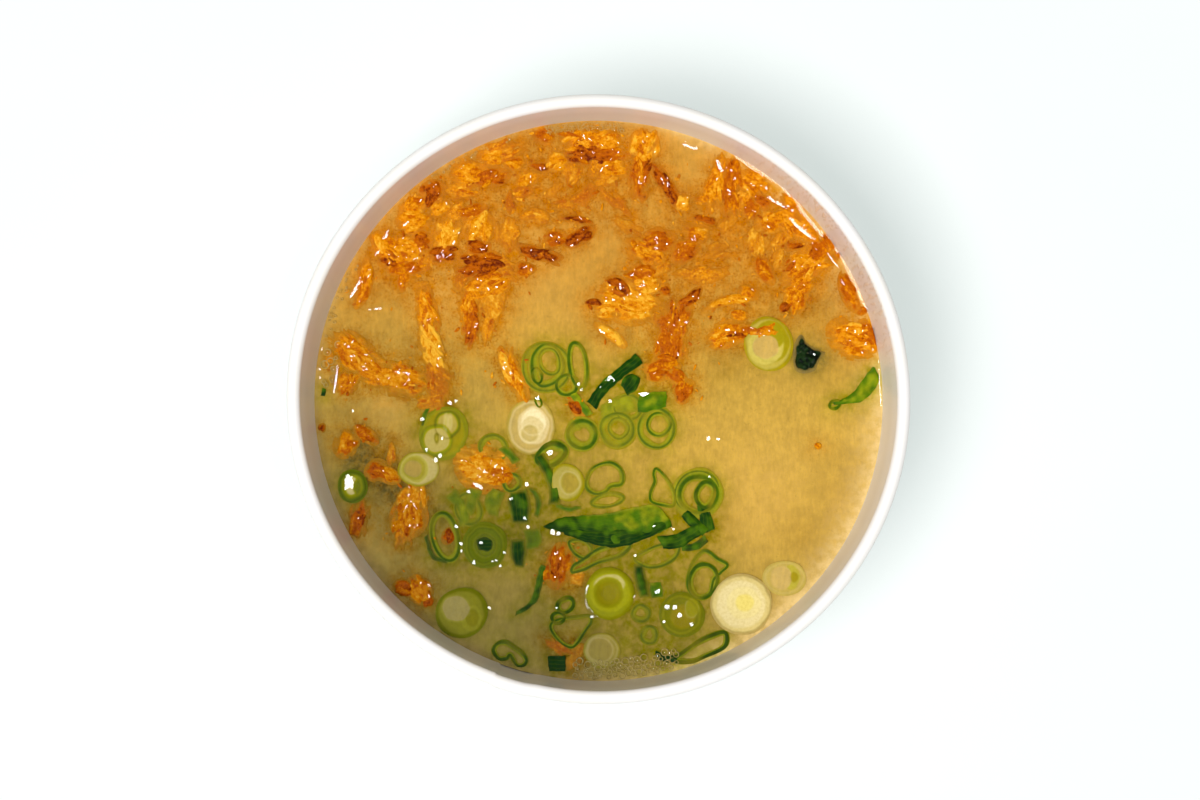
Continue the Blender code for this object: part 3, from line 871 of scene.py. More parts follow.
def away_from(x, y, outline, filled):
    """Distance of places from a closed outline; nothing inside one that is filled."""
    start, end = outline, np.roll(outline, -1, 0)
    along = end - start
    length = np.maximum(np.sum(along**2, 1), 1e-9)
    px, py = x[:, None] - start[:, 0], y[:, None] - start[:, 1]
    t = np.clip((px * along[:, 0] + py * along[:, 1]) / length, 0, 1)
    distance = np.hypot(px - t * along[:, 0], py - t * along[:, 1]).min(1)
    if filled:
        above = (start[:, 1] > y[:, None]) != (end[:, 1] > y[:, None])
        drop = np.where(np.abs(along[:, 1]) < 1e-9, 1e-9, along[:, 1])
        crossing = above & (px < along[:, 0] * py / drop)
        distance = np.where(crossing.sum(1) % 2 == 1, 0.0, distance)
    return distance


def centre_of(node):
    low, high = box_mm(node)
    return (low[:2] + high[:2]) / 2


SUNK_FLOOR = -1.6                             # underside of what floats, hidden in the cloudy broth
SLICE_CELL = 0.2
OVAL_SOFTNESS = 0.22                          # half the width over which one layer turns into the next
LINE_HALF = 0.17                              # half width of the line round a layer


def pad(x, y, half_width, half_depth, turn, cell, uneven, seed):
    """A fine grid over an uneven oval: flat points, share of the way to its edge, faces, edge."""
    columns, rows = (max(int(2 * half / cell), 6) for half in (half_width, half_depth))
    ux, uy, faces, edge = disc_grid(columns, rows)
    swell = 1 + uneven * wander(np.arctan2(uy, ux), 5, seed)
    along, across = ux * half_width * swell, uy * half_depth * swell
    c, s = math.cos(math.radians(turn)), math.sin(math.radians(turn))
    flat = np.stack([x + along * c - across * s, y + along * s + across * c], -1)
    return flat, np.hypot(ux, uy), faces, edge


def in_plane(flat, height=0.0):
    return np.column_stack([flat, np.full(len(flat), height)])


def cut_slice(shape, centre, half, turn, profile, base, layers, seed, uneven=0.05):
    """A cut slice of stem. Its profile is (share of the radius, height over the soup) from the middle
    out; its layers are ovals laid one over the other, each (x, y, half width, half depth, green,
    clear, warm, line), with x and y from the middle of the slice."""
    flat, share, faces, edge = pad(*centre, *half, turn, SLICE_CELL, uneven, seed)
    names = ("green", "clear", "warm")
    values = {name: np.full(len(flat), float(start)) for name, start in zip(names, base)}
    line = np.zeros(len(flat))
    shake = 0.14 * rough(in_plane(flat), 1.7, seed)
    for x, y, half_width, half_depth, *tints, mark in layers:
        px, py = (flat - centre - (x, y)).T
        away = (np.hypot(px / half_width, py / half_depth) - 1) * min(half_width, half_depth) + shake
        inside = 1 - smooth(away, -OVAL_SOFTNESS, OVAL_SOFTNESS)
        for name, tint in zip(names, tints):
            values[name] += (tint - values[name]) * inside
        line += mark * np.exp(-((away / LINE_HALF) ** 2))
    height = np.interp(share, *np.array(profile).T)
    height = height + 0.05 * rough(in_plane(flat), 0.9, seed + 1) - 0.08 * np.abs(line)
    shape.add(np.column_stack([flat, LEVEL + height]), faces, line=line, **values)
    close_below(shape, edge, [], (*centre, LEVEL + SUNK_FLOOR))


DOMED = ((0, 1.35), (0.5, 1.22), (0.8, 0.95), (0.92, 0.62), (1, -0.15))
FLAT = ((0, 0.42), (0.6, 0.4), (0.86, 0.3), (0.95, 0.05), (1, -0.5))
LOW = ((0, 0.12), (0.6, 0.1), (0.84, -0.02), (0.94, -0.3), (1, -0.8))
AWASH = ((0, -0.12), (0.6, -0.14), (0.84, -0.25), (0.94, -0.5), (1, -1.0))
DIMPLED = (
    (0, -0.15), (0.25, -0.05), (0.42, 0.3), (0.55, 0.72), (0.66, 0.86), (0.8, 0.78), (0.92, 0.56), (1, -0.1),
)
SHALLOW = ((0, -0.25), (0.4, -0.2), (0.6, 0.05), (0.75, 0.16), (0.88, 0.1), (0.95, -0.1), (1, -0.7))

# slices and thick rings: node: (piece, slot, half width, half depth, turn, profile,
#   (green, clear, warm) at the edge, layers, green haze)
SLICES = {
    "onion_slice_1": ("sliced_onion_1", "onion", 5.9, 5.7, 0, DOMED, (0.1, 0.75, 0.15), (
        (-0.15, 0, 5.5, 5.3, 0.02, 0.3, 0.5, 0.45), (-0.2, 0, 4.6, 4.5, 0, 0.08, 0.22, 0.08),
        (0.3, 0.3, 3.2, 3.1, 0, 0, 0.4, 0.06), (0.5, 0.3, 1.7, 1.6, 0.02, 0, 0.95, 0.05)), 0.1),
    "onion_slice_2": ("sliced_onion_2", "onion", 4.6, 5.2, -8, LOW, (0.3, 0.88, 0), (
        (0, 0, 4.1, 4.7, 0.12, 0.66, 0, -0.6), (0, 0, 3.7, 4.2, 0.16, 0.8, 0, 0.25),
        # the second oval on the next line leaves a white crescent: partly the white layer, partly a painted
        # highlight
        (0.5, 0.3, 2.9, 3.4, 0.06, 0.45, 0, -0.9), (0.5, 0.9, 2.3, 2.5, 0, 0, 0, -0.9),
        (0.2, -0.5, 2.2, 2.5, 0.08, 0.34, 0.05, 0.2), (-0.2, -1.3, 1.75, 1.7, 0.16, 0.5, 0.1, -0.9),
        (-0.2, -1.3, 1.35, 1.3, 0.16, 0.6, 0.1, 0.3)), 0.25),
    "onion_slice_3": ("sliced_onion_3", "onion", 4.7, 5.2, 10, FLAT, (0.6, 0.7, 0), (
        (0, 0, 4.1, 4.6, 0.34, 0.5, 0.15, -0.4), (0.5, 0.5, 3.5, 3.9, 0.6, 0.55, 0, 0.25),
        (-0.5, -0.4, 3.4, 3.5, 0.34, 0.3, 0.4, 0.1), (0.7, 1.2, 2.3, 2.1, 0.6, 0.45, 0, 0),
        (-0.5, -0.5, 2.4, 2.3, 0.14, 0.82, 0.1, 0)), 0.3),
    "onion_slice_5": ("sliced_onion_5", "onion", 3.9, 3.3, 0, FLAT, (0.45, 0.7, 0), (
        (0.5, 0, 3.2, 2.8, 0.2, 0.5, 0, -0.3), (-0.6, 0, 2.7, 2.7, 0.36, 0.3, 0.2, -0.4),
        (-0.7, 0.1, 2.1, 2.1, 0.4, 0.5, 0.1, 0.2), (-0.9, 0.1, 1.6, 1.55, 0.16, 0.95, 0, 0.25)), 0.2),
    "onion_slice_6": ("sliced_onion_6", "onion", 5, 4.8, 20, FLAT, (0.85, 0.5, 0), (
        (0, 0, 4.3, 4.1, 0.72, 0.45, 0.1, 0.1), (1.9, -1.1, 2, 2.5, 0.62, 0.3, 0.1, 0.1),
        (2.1, -1.1, 1.1, 1.5, 0.6, 0.7, 0, 0.3), (-1, 0.8, 2.6, 2.4, 0.2, 0.72, 0, -0.15)), 0.45),
    "onion_slice_7": ("sliced_onion_7", "onion", 4.2, 3.3, 0, LOW, (0.26, 0.72, 0.2), (
        (0, 0, 3.6, 2.8, 0.24, 0.74, 0.2, -0.3), (1.3, 0.2, 1.5, 2.3, 0.42, 0.4, 0.3, 0),
        (-0.7, 0.1, 2, 2.2, 0.08, 0.82, 0, 0), (1.8, 0.2, 0.6, 0.9, 0.45, 0.75, 0, 0.2)), 0.1),
    "onion_slice_8": ("sliced_onion_8", "onion", 3.3, 3.6, 25, FLAT, (0.5, 0.6, 0), (
        (0, 0, 2.8, 3.1, 0.3, 0.5, 0, -0.2), (0.5, -0.1, 1.9, 2.1, 0.34, 0.66, 0, -0.6),
        (0.6, -0.1, 1.4, 1.6, 0.32, 0.85, 0, 0.1)), 0.35),
    "onion_slice_9": ("sliced_onion_9", "onion", 3.5, 3.3, 0, AWASH, (0.4, 0.8, 0.1), (
        (0, 0, 3, 2.8, 0.3, 0.8, 0.1, -0.35), (-0.3, 0.1, 2.4, 2.3, 0.24, 0.9, 0.1, -0.35)), 0.2),
    "onion_ring_1": ("stem_ring_1", "green_onion", 4.75, 4.9, 0, DIMPLED, (0.7, 0.35, 0), (
        (0, 0, 4.3, 4.4, 0.62, 0.1, 0, 0), (0.1, 0.2, 3.8, 3.7, 0.44, 0, 0, 0),
        # the first oval on the next line leaves a paler crescent towards the top, painted as a soft
        # reflection
        (0.2, 1.7, 2.9, 2, 0.26, 0, 0.1, 0), (-0.1, 0.1, 2.8, 2.9, 0.62, 0.3, 0, 0),
        (-0.1, 0, 2.2, 2.2, 0.64, 0.6, 0, 0.1), (-0.1, 0, 1.3, 1.3, 0.66, 0.7, 0, 0.1)), 0.8),
    "onion_ring_2": ("stem_ring_2", "green_onion", 2.9, 3.2, 0, SHALLOW, (1, 0.1, 0), (
        (0, 0, 2.5, 2.8, 1, 0.1, 0, 0.9), (0, 0, 2.1, 2.3, 0.72, 0.2, 0, 0),
        # the first oval on the next line, pale in the ring's hollow, is a painted highlight
        (-0.2, 0.1, 1.2, 1.8, 0.2, 0, 0, 0), (0.9, -0.1, 0.6, 1.1, 0.85, 0.3, 0, 0.3)), 0.6),
    "onion_ring_3": ("stem_ring_3", "green_onion", 4.3, 4.4, 0, SHALLOW, (1, 0.35, 0), (
        (0, 0, 3.8, 3.9, 0.86, 0.2, 0, 0.4), (0, 0, 3.2, 3.3, 1, 0.2, 0, 0.6),
        (0, 0, 2.5, 2.6, 0.88, 0.25, 0, 0.2), (0.1, 0, 1.9, 2, 1, 0.3, 0, 0.6)), 0.9),
    "onion_ring_4": ("stem_ring_4", "green_onion", 4.3, 4.3, 0, SHALLOW, (0.95, 0.5, 0), (
        (0, 0, 3.8, 3.8, 0.74, 0.4, 0, 0.3), (0, 0, 3.1, 3.1, 0.85, 0.5, 0, 0.4),
        (0.3, -0.3, 2.3, 2.3, 0.62, 0.85, 0, 0), (1.9, 1.2, 1.3, 1.7, 0.6, 0.4, 0, -0.2)), 0.9),
    "onion_slice_4": ("nested_onion_slice", "onion", 4.6, 5.2, -20, LOW, (0.8, 0.4, 0), (
        (0, 0, 4.1, 4.7, 0.7, 0.35, 0, 0.3), (0.2, 0.2, 3.5, 4.1, 0.62, 0.7, 0, 0),
        (0.7, 1.6, 2.5, 2.5, 0.9, 0.2, 0, 0.8), (0.7, 1.6, 2, 2, 0.3, 0.66, 0.1, 0),
        (0.4, 2, 0.3, 1.2, 0.3, 0.4, 0.2, -0.5), (1.2, 1.7, 0.3, 1.1, 0.3, 0.4, 0.2, -0.5),
        (-1.4, -1.4, 3, 3, 0.75, 0.1, 0, 0.5), (-1.4, -1.4, 2.4, 2.4, 0.26, 0.5, 0, 0),
        (-1.4, -1.2, 0.3, 0.7, 0.5, 0.5, 0.3, 0.9)), 0.9),
}
SLICE_VALUES = ("green", "clear", "warm", "line")
for seed, (node, row) in enumerate(SLICES.items()):
    name, slot, half_width, half_depth, turn, profile, base, layers, haze = row
    shape = Garnish(*SLICE_VALUES)
    centre = centre_of(node)
    cut_slice(shape, centre, (half_width, half_depth), turn, profile, base, layers, seed + 5)
    shape.finish(name, onion_flesh, (node,), slot)
    outline = oval(*centre, half_width - 0.5, half_depth - 0.5, turn, 48)
    afloat.add(outline, 0.1 if node == "onion_ring_1" else 0.0, green=haze, reach=1.2)


# ---- thin cut rings of leaf: a dark line of skin at the surface over a pale wall that spreads below
RING_STEPS = 110
LEAF_VALUES = ("tone", "skin", "rib", "fade")
# across the wall: (share of the line's width, share of the pale band, height, shade, fade)
LOOP_SECTION = (
    (0.5, -0.45, -1.2, 0.0, 1.0), (0.5, -0.16, -0.42, 0.2, 0.35), (0.5, 0.0, -0.07, 0.9, 0.0),
    (0.2, 0.0, 0.0, 1.0, 0.0), (-0.2, 0.0, 0.0, 1.0, 0.0), (-0.5, 0.0, -0.07, 0.8, 0.0),
    (-0.5, 0.25, -0.22, 0.15, 0.1), (-0.5, 0.6, -0.42, 0.0, 0.35), (-0.5, 1.0, -1.2, 0.0, 1.0),
    (0.0, 0.3, -1.45, 0.0, 1.0),
)


def leaf_loop(shape, outline, width, top, band, tone, seed=0):
    """A thin cut ring of leaf; its pale wall spreads inwards, or outwards where band is negative."""
    outline = anticlockwise(np.asarray(outline, float))
    normals = outward(outline)
    angle = np.linspace(0, 2 * np.pi, len(outline), endpoint=False)
    thick = width * (1 + 0.3 * wander(angle, 7, seed + 3))
    spread = abs(band) * (1 + 0.35 * wander(angle, 5, seed + 7))
    ripple = 0.07 * wander(angle, 6, seed)
    side = 1 if band >= 0 else -1
    sunk = 0.65 * smooth(wander(angle, 3, seed + 13), -0.3, 0.8)
    rows, tones, skins, fades = [], [], [], []
    for line_share, band_share, height, shade, fade in LOOP_SECTION:
        flat = outline + normals * (side * (line_share * thick - band_share * spread))[:, None]
        rows.append(np.column_stack([flat, LEVEL + top + height + ripple]))
        tones.append(LOOP_PALE + (tone - LOOP_PALE) * shade + 0.12 * wander(angle, 8, seed + 5))
        skins.append(0.75 * shade * (1 - 0.5 * sunk))
        fades.append(np.maximum(fade, sunk))
    shape.add(np.array(rows), grid_faces(len(rows), len(outline), True, True), rib=0.5,
              tone=np.concatenate(tones), skin=np.concatenate(skins), fade=np.concatenate(fades))


LOOP_PALE = 0.06
# node: (outline along the line, width of the line, top, band, tone)
LEAF_LOOPS = {
    "leaf_ring_1": (closed_curve((
        (-12.6, 5.6), (-12.4, 8.4), (-10.6, 10.4), (-8.4, 10.2), (-6.9, 8), (-6.6, 5.4), (-8.2, 3.4),
        (-10.6, 2.6), (-12.2, 3.8)), RING_STEPS), 0.32, 0, 0.9, 0.5),
    "leaf_ring_2": (oval(-3.9, 6.6, 1.7, 4.4, 8, uneven=0.05, seed=4), 0.42, 0.08, 0.5, 0.6),
    "leaf_ring_3": (oval(-3.1, -6.5, 2.7, 2.6, 0, uneven=0.04, seed=5), 0.4, 0.06, 1.2, 0.6),
    "leaf_ring_4": (oval(3.6, -5.6, 3.1, 3.1, 0, uneven=0.06, seed=6), 0.3, -0.18, 1.3, 0.35),
    "leaf_ring_5": (oval(10.9, -5.3, 3.4, 3.7, 0, uneven=0.05, seed=7), 0.3, -0.06, 0.9, 0.45),
    "leaf_ring_6": (oval(18.8, -17.9, 3.5, 3.4, 0, uneven=0.05, seed=8), 0.4, 0.1, -1.3, 0.6),
    "leaf_ring_7": (oval(19.8, -34.2, 2.6, 3.3, -12, uneven=0.05, seed=9), 0.5, 0.1, 0.5, 0.7),
    "leaf_ring_8": (oval(-29, -25.8, 2.5, 4.6, 12, uneven=0.06, seed=10), 0.36, 0.06, 0.7, 0.7),
    "leaf_ring_9": (closed_curve((
        (-2.3, -15), (-1, -12.8), (2, -11.8), (4, -12.8), (4.7, -14.5), (4.3, -16),
        (2.4, -16.4), (1.3, -17.4), (-0.6, -17.8), (-2.2, -16.8)), RING_STEPS), 0.32, 0.03, 0.5, 0.5),
    "leaf_ring_10": (closed_curve((
        (11, -13), (13, -15), (14.4, -17.6), (14.2, -20), (12, -19.9),
        (10, -19.2), (9.8, -17.6), (10.6, -15.5), (10.4, -14)), RING_STEPS), 0.34, 0.05, 0.35, 0.6),
    "leaf_ring_11": (closed_curve((
        (-9, -42.4), (-8.7, -44), (-7, -46), (-5.2, -46.8), (-4, -46), (-2.5, -43.7),
        (-1.4, -42), (-1.8, -40.8), (-4.2, -41), (-7.2, -41.4)), RING_STEPS), 0.3, 0.03, 0.4, 0.7),
    "leaf_ring_12": (closed_curve((
        (-19.9, -47.3), (-19, -46), (-17.5, -45.8), (-16, -46.7), (-14.4, -47.9), (-13.6, -49.2),
        (-14.2, -50.2), (-15.4, -50.2), (-16.2, -49), (-16.8, -48.2), (-17.4, -48.9), (-18.9, -48.9)),
        RING_STEPS), 0.5, 0.08, 0.35, 0.8),
    "leaf_ring_13": (closed_curve((
        (14.3, -49.2), (17, -47), (20, -45.1), (23.4, -43.9), (24.3, -44.8),
        (23.7, -46.8), (20.2, -48.5), (17.6, -49.5)), RING_STEPS), 0.55, 0.12, 0.4, 0.9),
}
# further thin rings that touch or lie under those: (outline, width, top, band, tone)
SMALL_LOOPS = (
    (oval(-10, 6.2, 4.5, 4.5, 0, uneven=0.05, seed=21), 0.26, -0.2, 0.8, 0.3),
    (oval(-11.7, 4.6, 0.9, 1.5, 20, uneven=0.05, seed=22), 0.34, 0.05, 0.3, 0.7),
    (oval(-9.3, 7.4, 2, 2.5, 20, uneven=0.1, seed=34), 0.24, -0.16, 0.5, 0.35),
    (oval(-6, 2.8, 2, 1.9, 0, uneven=0.06, seed=23), 0.4, 0.05, 0.6, 0.65),
    (oval(-11.4, -0.4, 0.55, 0.9, 25, uneven=0.1, seed=35), 0.3, 0.12, 0.2, 0.6),
    (oval(11.5, -4.6, 2.2, 2.2, 0, uneven=0.06, seed=24), 0.32, 0.02, 0.5, 0.5),
    (oval(20.2, -17.8, 1.8, 2.4, -10, uneven=0.1, seed=25), 0.55, 0.12, 0.6, 0.75),
    (oval(18.6, -17.5, 4.2, 4, 10, uneven=0.05, seed=36), 0.26, -0.12, 0.7, 0.35),
    (oval(-6.2, -38.8, 1.6, 1.3, 30, uneven=0.1, seed=26), 0.55, 0.15, 0.4, 0.8),
    (oval(-7.6, -41.2, 1.2, 1, 0, uneven=0.1, seed=27), 0.5, 0.15, 0.3, 0.8),
    (oval(-20, -9.3, 2.6, 2.6, 0, uneven=0.08, seed=28), 0.28, -0.25, 0.8, 0.3),
    (oval(-9, -10.3, 2.9, 1.9, 25, uneven=0.1, seed=29), 0.6, 0.12, 0.9, 0.8),
    (oval(-16.4, -15.6, 1.6, 1.6, 0, uneven=0.1, seed=30), 0.34, -0.04, 0.5, 0.6),
    (oval(3.8, -5.4, 1.9, 2, 0, uneven=0.1, seed=31), 0.26, -0.3, 0.7, 0.3),
    (oval(5.6, -1.4, 2.6, 2.3, 10, uneven=0.1, seed=37), 0.26, -0.3, 1, 0.3),
    (oval(8, -40.4, 1.6, 1.6, 0, uneven=0.1, seed=32), 0.3, -0.3, 0.8, 0.35),
    (oval(9.6, -44.4, 1.5, 1.6, 0, uneven=0.1, seed=33), 0.3, -0.3, 0.8, 0.35),
    (oval(-24.6, -20.6, 2.4, 2.9, 20, uneven=0.1, seed=38), 0.28, -0.3, 0.9, 0.35),
    (oval(1.6, -19, 3, 1.3, 10, uneven=0.1, seed=39), 0.26, -0.25, 0.6, 0.3),
    (closed_curve((
        (17, -33), (18, -30.4), (19.7, -28.6), (21, -28.8), (22.5, -30), (24.4, -31.2),
        (23.2, -32.6), (21.8, -34), (21, -36.6), (18.6, -37.4), (17, -35.6)), RING_STEPS),
        0.38, 0.02, 0.4, 0.6),
    (closed_curve((
        (-5, -32.6), (-3, -32.2), (0, -30.8), (4, -29.6), (6, -27.6), (4, -27.2),
        (0, -28.2), (-3, -30.2), (-4.8, -31.4)), RING_STEPS), 0.36, -0.04, 0.5, 0.65),
    (closed_curve((
        (-5.6, -27), (-4.6, -29), (-2.6, -30), (-1.2, -28.6), (-2, -27), (-4, -26.4)),
        RING_STEPS), 0.32, -0.04, 0.4, 0.7),
    (closed_curve((
        (6.8, -30), (9, -31.6), (12, -31.4), (14.6, -29.8), (15.2, -27.6), (13, -27.2),
        (10, -28)), RING_STEPS), 0.28, -0.15, 0.5, 0.5),
)
for seed, (node, row) in enumerate(LEAF_LOOPS.items()):
    shape = Garnish(*LEAF_VALUES)
    leaf_loop(shape, *row, seed=seed + 11)
    shape.finish(node.replace("leaf_ring", "leaf_loop"), green_leaf, (node,), "green_onion")
    afloat.add(anticlockwise(row[0]), green=0.6, filled=False)
shape = Garnish(*LEAF_VALUES)
for seed, row in enumerate(SMALL_LOOPS):
    leaf_loop(shape, *row, seed=seed + 41)
    afloat.add(anticlockwise(row[0]), green=0.45, filled=False)
shape.finish("small_leaf_loops", green_leaf, (), "green_onion")


# ---- leaf pieces
def leaf_strip(shape, side_a, side_b, lift, tones, arch=0.1, sink=0.35, cell=0.25, seed=0):
    """A flat piece of leaf between two long sides, ribbed along; tones run across, for one or more
    places along it, and its edges dip by sink."""
    tones = np.atleast_2d(np.array(tones, float))
    length = np.hypot(*np.diff(np.array(side_a, float), axis=0).T).sum()
    width = np.hypot(*(open_curve(side_a, 9) - open_curve(side_b, 9)).T).max()
    columns, rows = max(int(length / cell), 8), max(int(width / cell), 6)
    a, b = open_curve(side_a, columns), open_curve(side_b, columns)
    share = np.linspace(0, 1, rows)
    flat = (a[None] * (1 - share)[:, None, None] + b[None] * share[:, None, None]).reshape(-1, 2)
    shake = [rough(in_plane(flat), 1.1, seed + shift) for shift in (1, 2)]
    flat = flat + 0.12 * np.column_stack(shake)
    u, v = np.tile(np.linspace(0, 1, columns), rows), np.repeat(share, columns)
    fold = rough(in_plane(flat), 2.6, seed)
    margin = np.minimum(np.minimum(u * length, (1 - u) * length), np.minimum(v * width, (1 - v) * width))
    edge = smooth(margin, 0.0, min(0.8, width * 0.4))
    height = lift + arch * (4 * v * (1 - v)) + 0.16 * fold - sink * (1 - edge)
    stops = np.linspace(0, 1, tones.shape[1])
    across = np.array([np.interp(v, stops, row) for row in tones])
    place = u * (len(tones) - 1)
    first = np.minimum(place.astype(int), max(len(tones) - 2, 0))
    second = np.minimum(first + 1, len(tones) - 1)
    at = np.arange(len(v))
    tone = across[first, at] + (across[second, at] - across[first, at]) * (place - first)
    tone = tone + 0.22 * rough(in_plane(flat), 1.3, seed + 4) - 0.15 * fold
    for rise in (0.0, -LEAF_THICK):
        points = np.column_stack([flat, LEVEL + height + rise])
        shape.add(points, grid_faces(rows, columns), tone=tone, skin=0.0, rib=v * width / RIB_STEP,
                  fade=0.75 * (1 - edge) * (sink > 0.3))
    sew_edges(shape, grid_edge(rows, columns), rows * columns)


LEAF_THICK = 0.3
RIB_STEP = 0.75


def around(side_a, side_b):
    """The closed outline of a strip between two sides."""
    return anticlockwise(np.vstack([open_curve(side_a, 20), open_curve(side_b, 20)[::-1]]))


# node: pieces of (one side, other side, lift, tones, arch, sink)
LEAF_PIECES = {
    "leaf_piece_1": (
        (((-10.4, -23.9), (-7, -22.3), (-3, -21.9), (1, -21.6), (5, -20.7), (9, -19.9), (11.4, -20.2),
          (13.6, -22.8)),
         ((-10.4, -24.2), (-6, -25.4), (-2, -27), (2, -28), (5, -27.6), (8, -26.6), (11, -25.4),
          (14, -24)),
         0.1, ((0.9, 0.95, 0.9), (0.75, 0.8, 0.95), (0.3, 0.75, 0.95), (0.12, 0.5, 0.9), (0.1, 0.3, 0.95),
               (0.4, 0.4, 0.9)), 0.2, 0.3),
        (((-6.8, -24.4), (-2, -24.6), (3, -24.4), (8, -23.4), (12.4, -22.6)),
         ((-6.6, -25.4), (-2, -26.9), (3, -27.9), (8, -26.7), (13, -24)),
         0.3, ((0.9, 0.75, 1), (0.7, 0.8, 1), (0.65, 0.7, 1)), 0.12, 0.1)),
    "leaf_piece_2": (
        (((-2.2, -0.4), (-0.6, 2), (1.6, 4.4), (4.4, 6.6), (7, 8.9)),
         ((-0.4, -1.8), (1, 0.8), (2.8, 2.6), (5.6, 5), (8.4, 7)),
         0.2, ((1, 0.8, 1.05), (0.95, 1, 1.1), (0.9, 0.85, 1)), 0.15, 0.12),
        (((4.2, 2.8), (5, 4.6), (6.4, 5)), ((5.6, 0.8), (7.2, 2), (8, 4.2)),
         0.12, ((0.8, 0.9, 0.75), (0.95, 0.9, 0.9)), 0.1, 0.15)),
    "leaf_piece_3": (
        (((7.6, 0.9), (10, 1.4), (13, 1.7)), ((7.4, -2.4), (10, -2.1), (12.8, -1.3)),
         0.22, ((0.5, 0.42, 0.55), (0.4, 0.45, 0.5), (0.45, 0.4, 0.45)), 0.15, 0.3),),
    "leaf_piece_4": (
        (((44.4, -0.4), (46.2, 0.2), (48.2, 1.4), (50, 3.9), (52, 6.2), (52.8, 5.6)),
         ((44.6, -1), (47, -0.7), (49.4, -0.5), (51, 0.6), (52.6, 2.4), (53.2, 4.4)),
         0.1, ((0.7, 0.6, 0.7), (0.55, 0.2, 0.5), (0.45, 0.1, 0.35), (0.5, 0.25, 0.55)), 0.1, 0.15),),
    "leaf_piece_5": (
        (((-9.6, -48.4), (-6.3, -48.5)), ((-9.4, -51.3), (-6.2, -51.3)), 0.16,
         ((1.05, 1.2, 1.1), (1.1, 1.2, 1.05)), 0.08, 0.1),),
    "leaf_piece_6": (
        (((17, -20.6), (18.4, -22.2), (20.8, -24.4)), ((15.6, -22), (17.2, -23.8), (19.6, -25.8)),
         0.22, ((0.95, 0.7, 0.9), (0.8, 0.6, 1)), 0.1, 0.12),
        (((18.6, -20), (19.2, -22.6), (19.4, -25.4)), ((20.8, -20.2), (21.6, -22.6), (22, -24.6)),
         0.05, ((0.9, 0.75, 0.95), (1, 0.7, 0.9)), 0.1, 0.12),
        (((11, -25.8), (14.6, -25.4), (18.6, -23.2)), ((12.2, -28.2), (15.4, -28), (19.4, -25.6)),
         0.2, ((1, 0.8, 1), (0.9, 0.65, 0.95), (1, 0.8, 1)), 0.12, 0.12),
        (((15.6, -27.4), (18, -27), (20, -25.6)), ((15.8, -28.6), (18.6, -28.4), (20.8, -26.8)),
         0, ((0.7, 0.6, 0.8), (0.75, 0.6, 0.85)), 0.05, 0.12)),
}
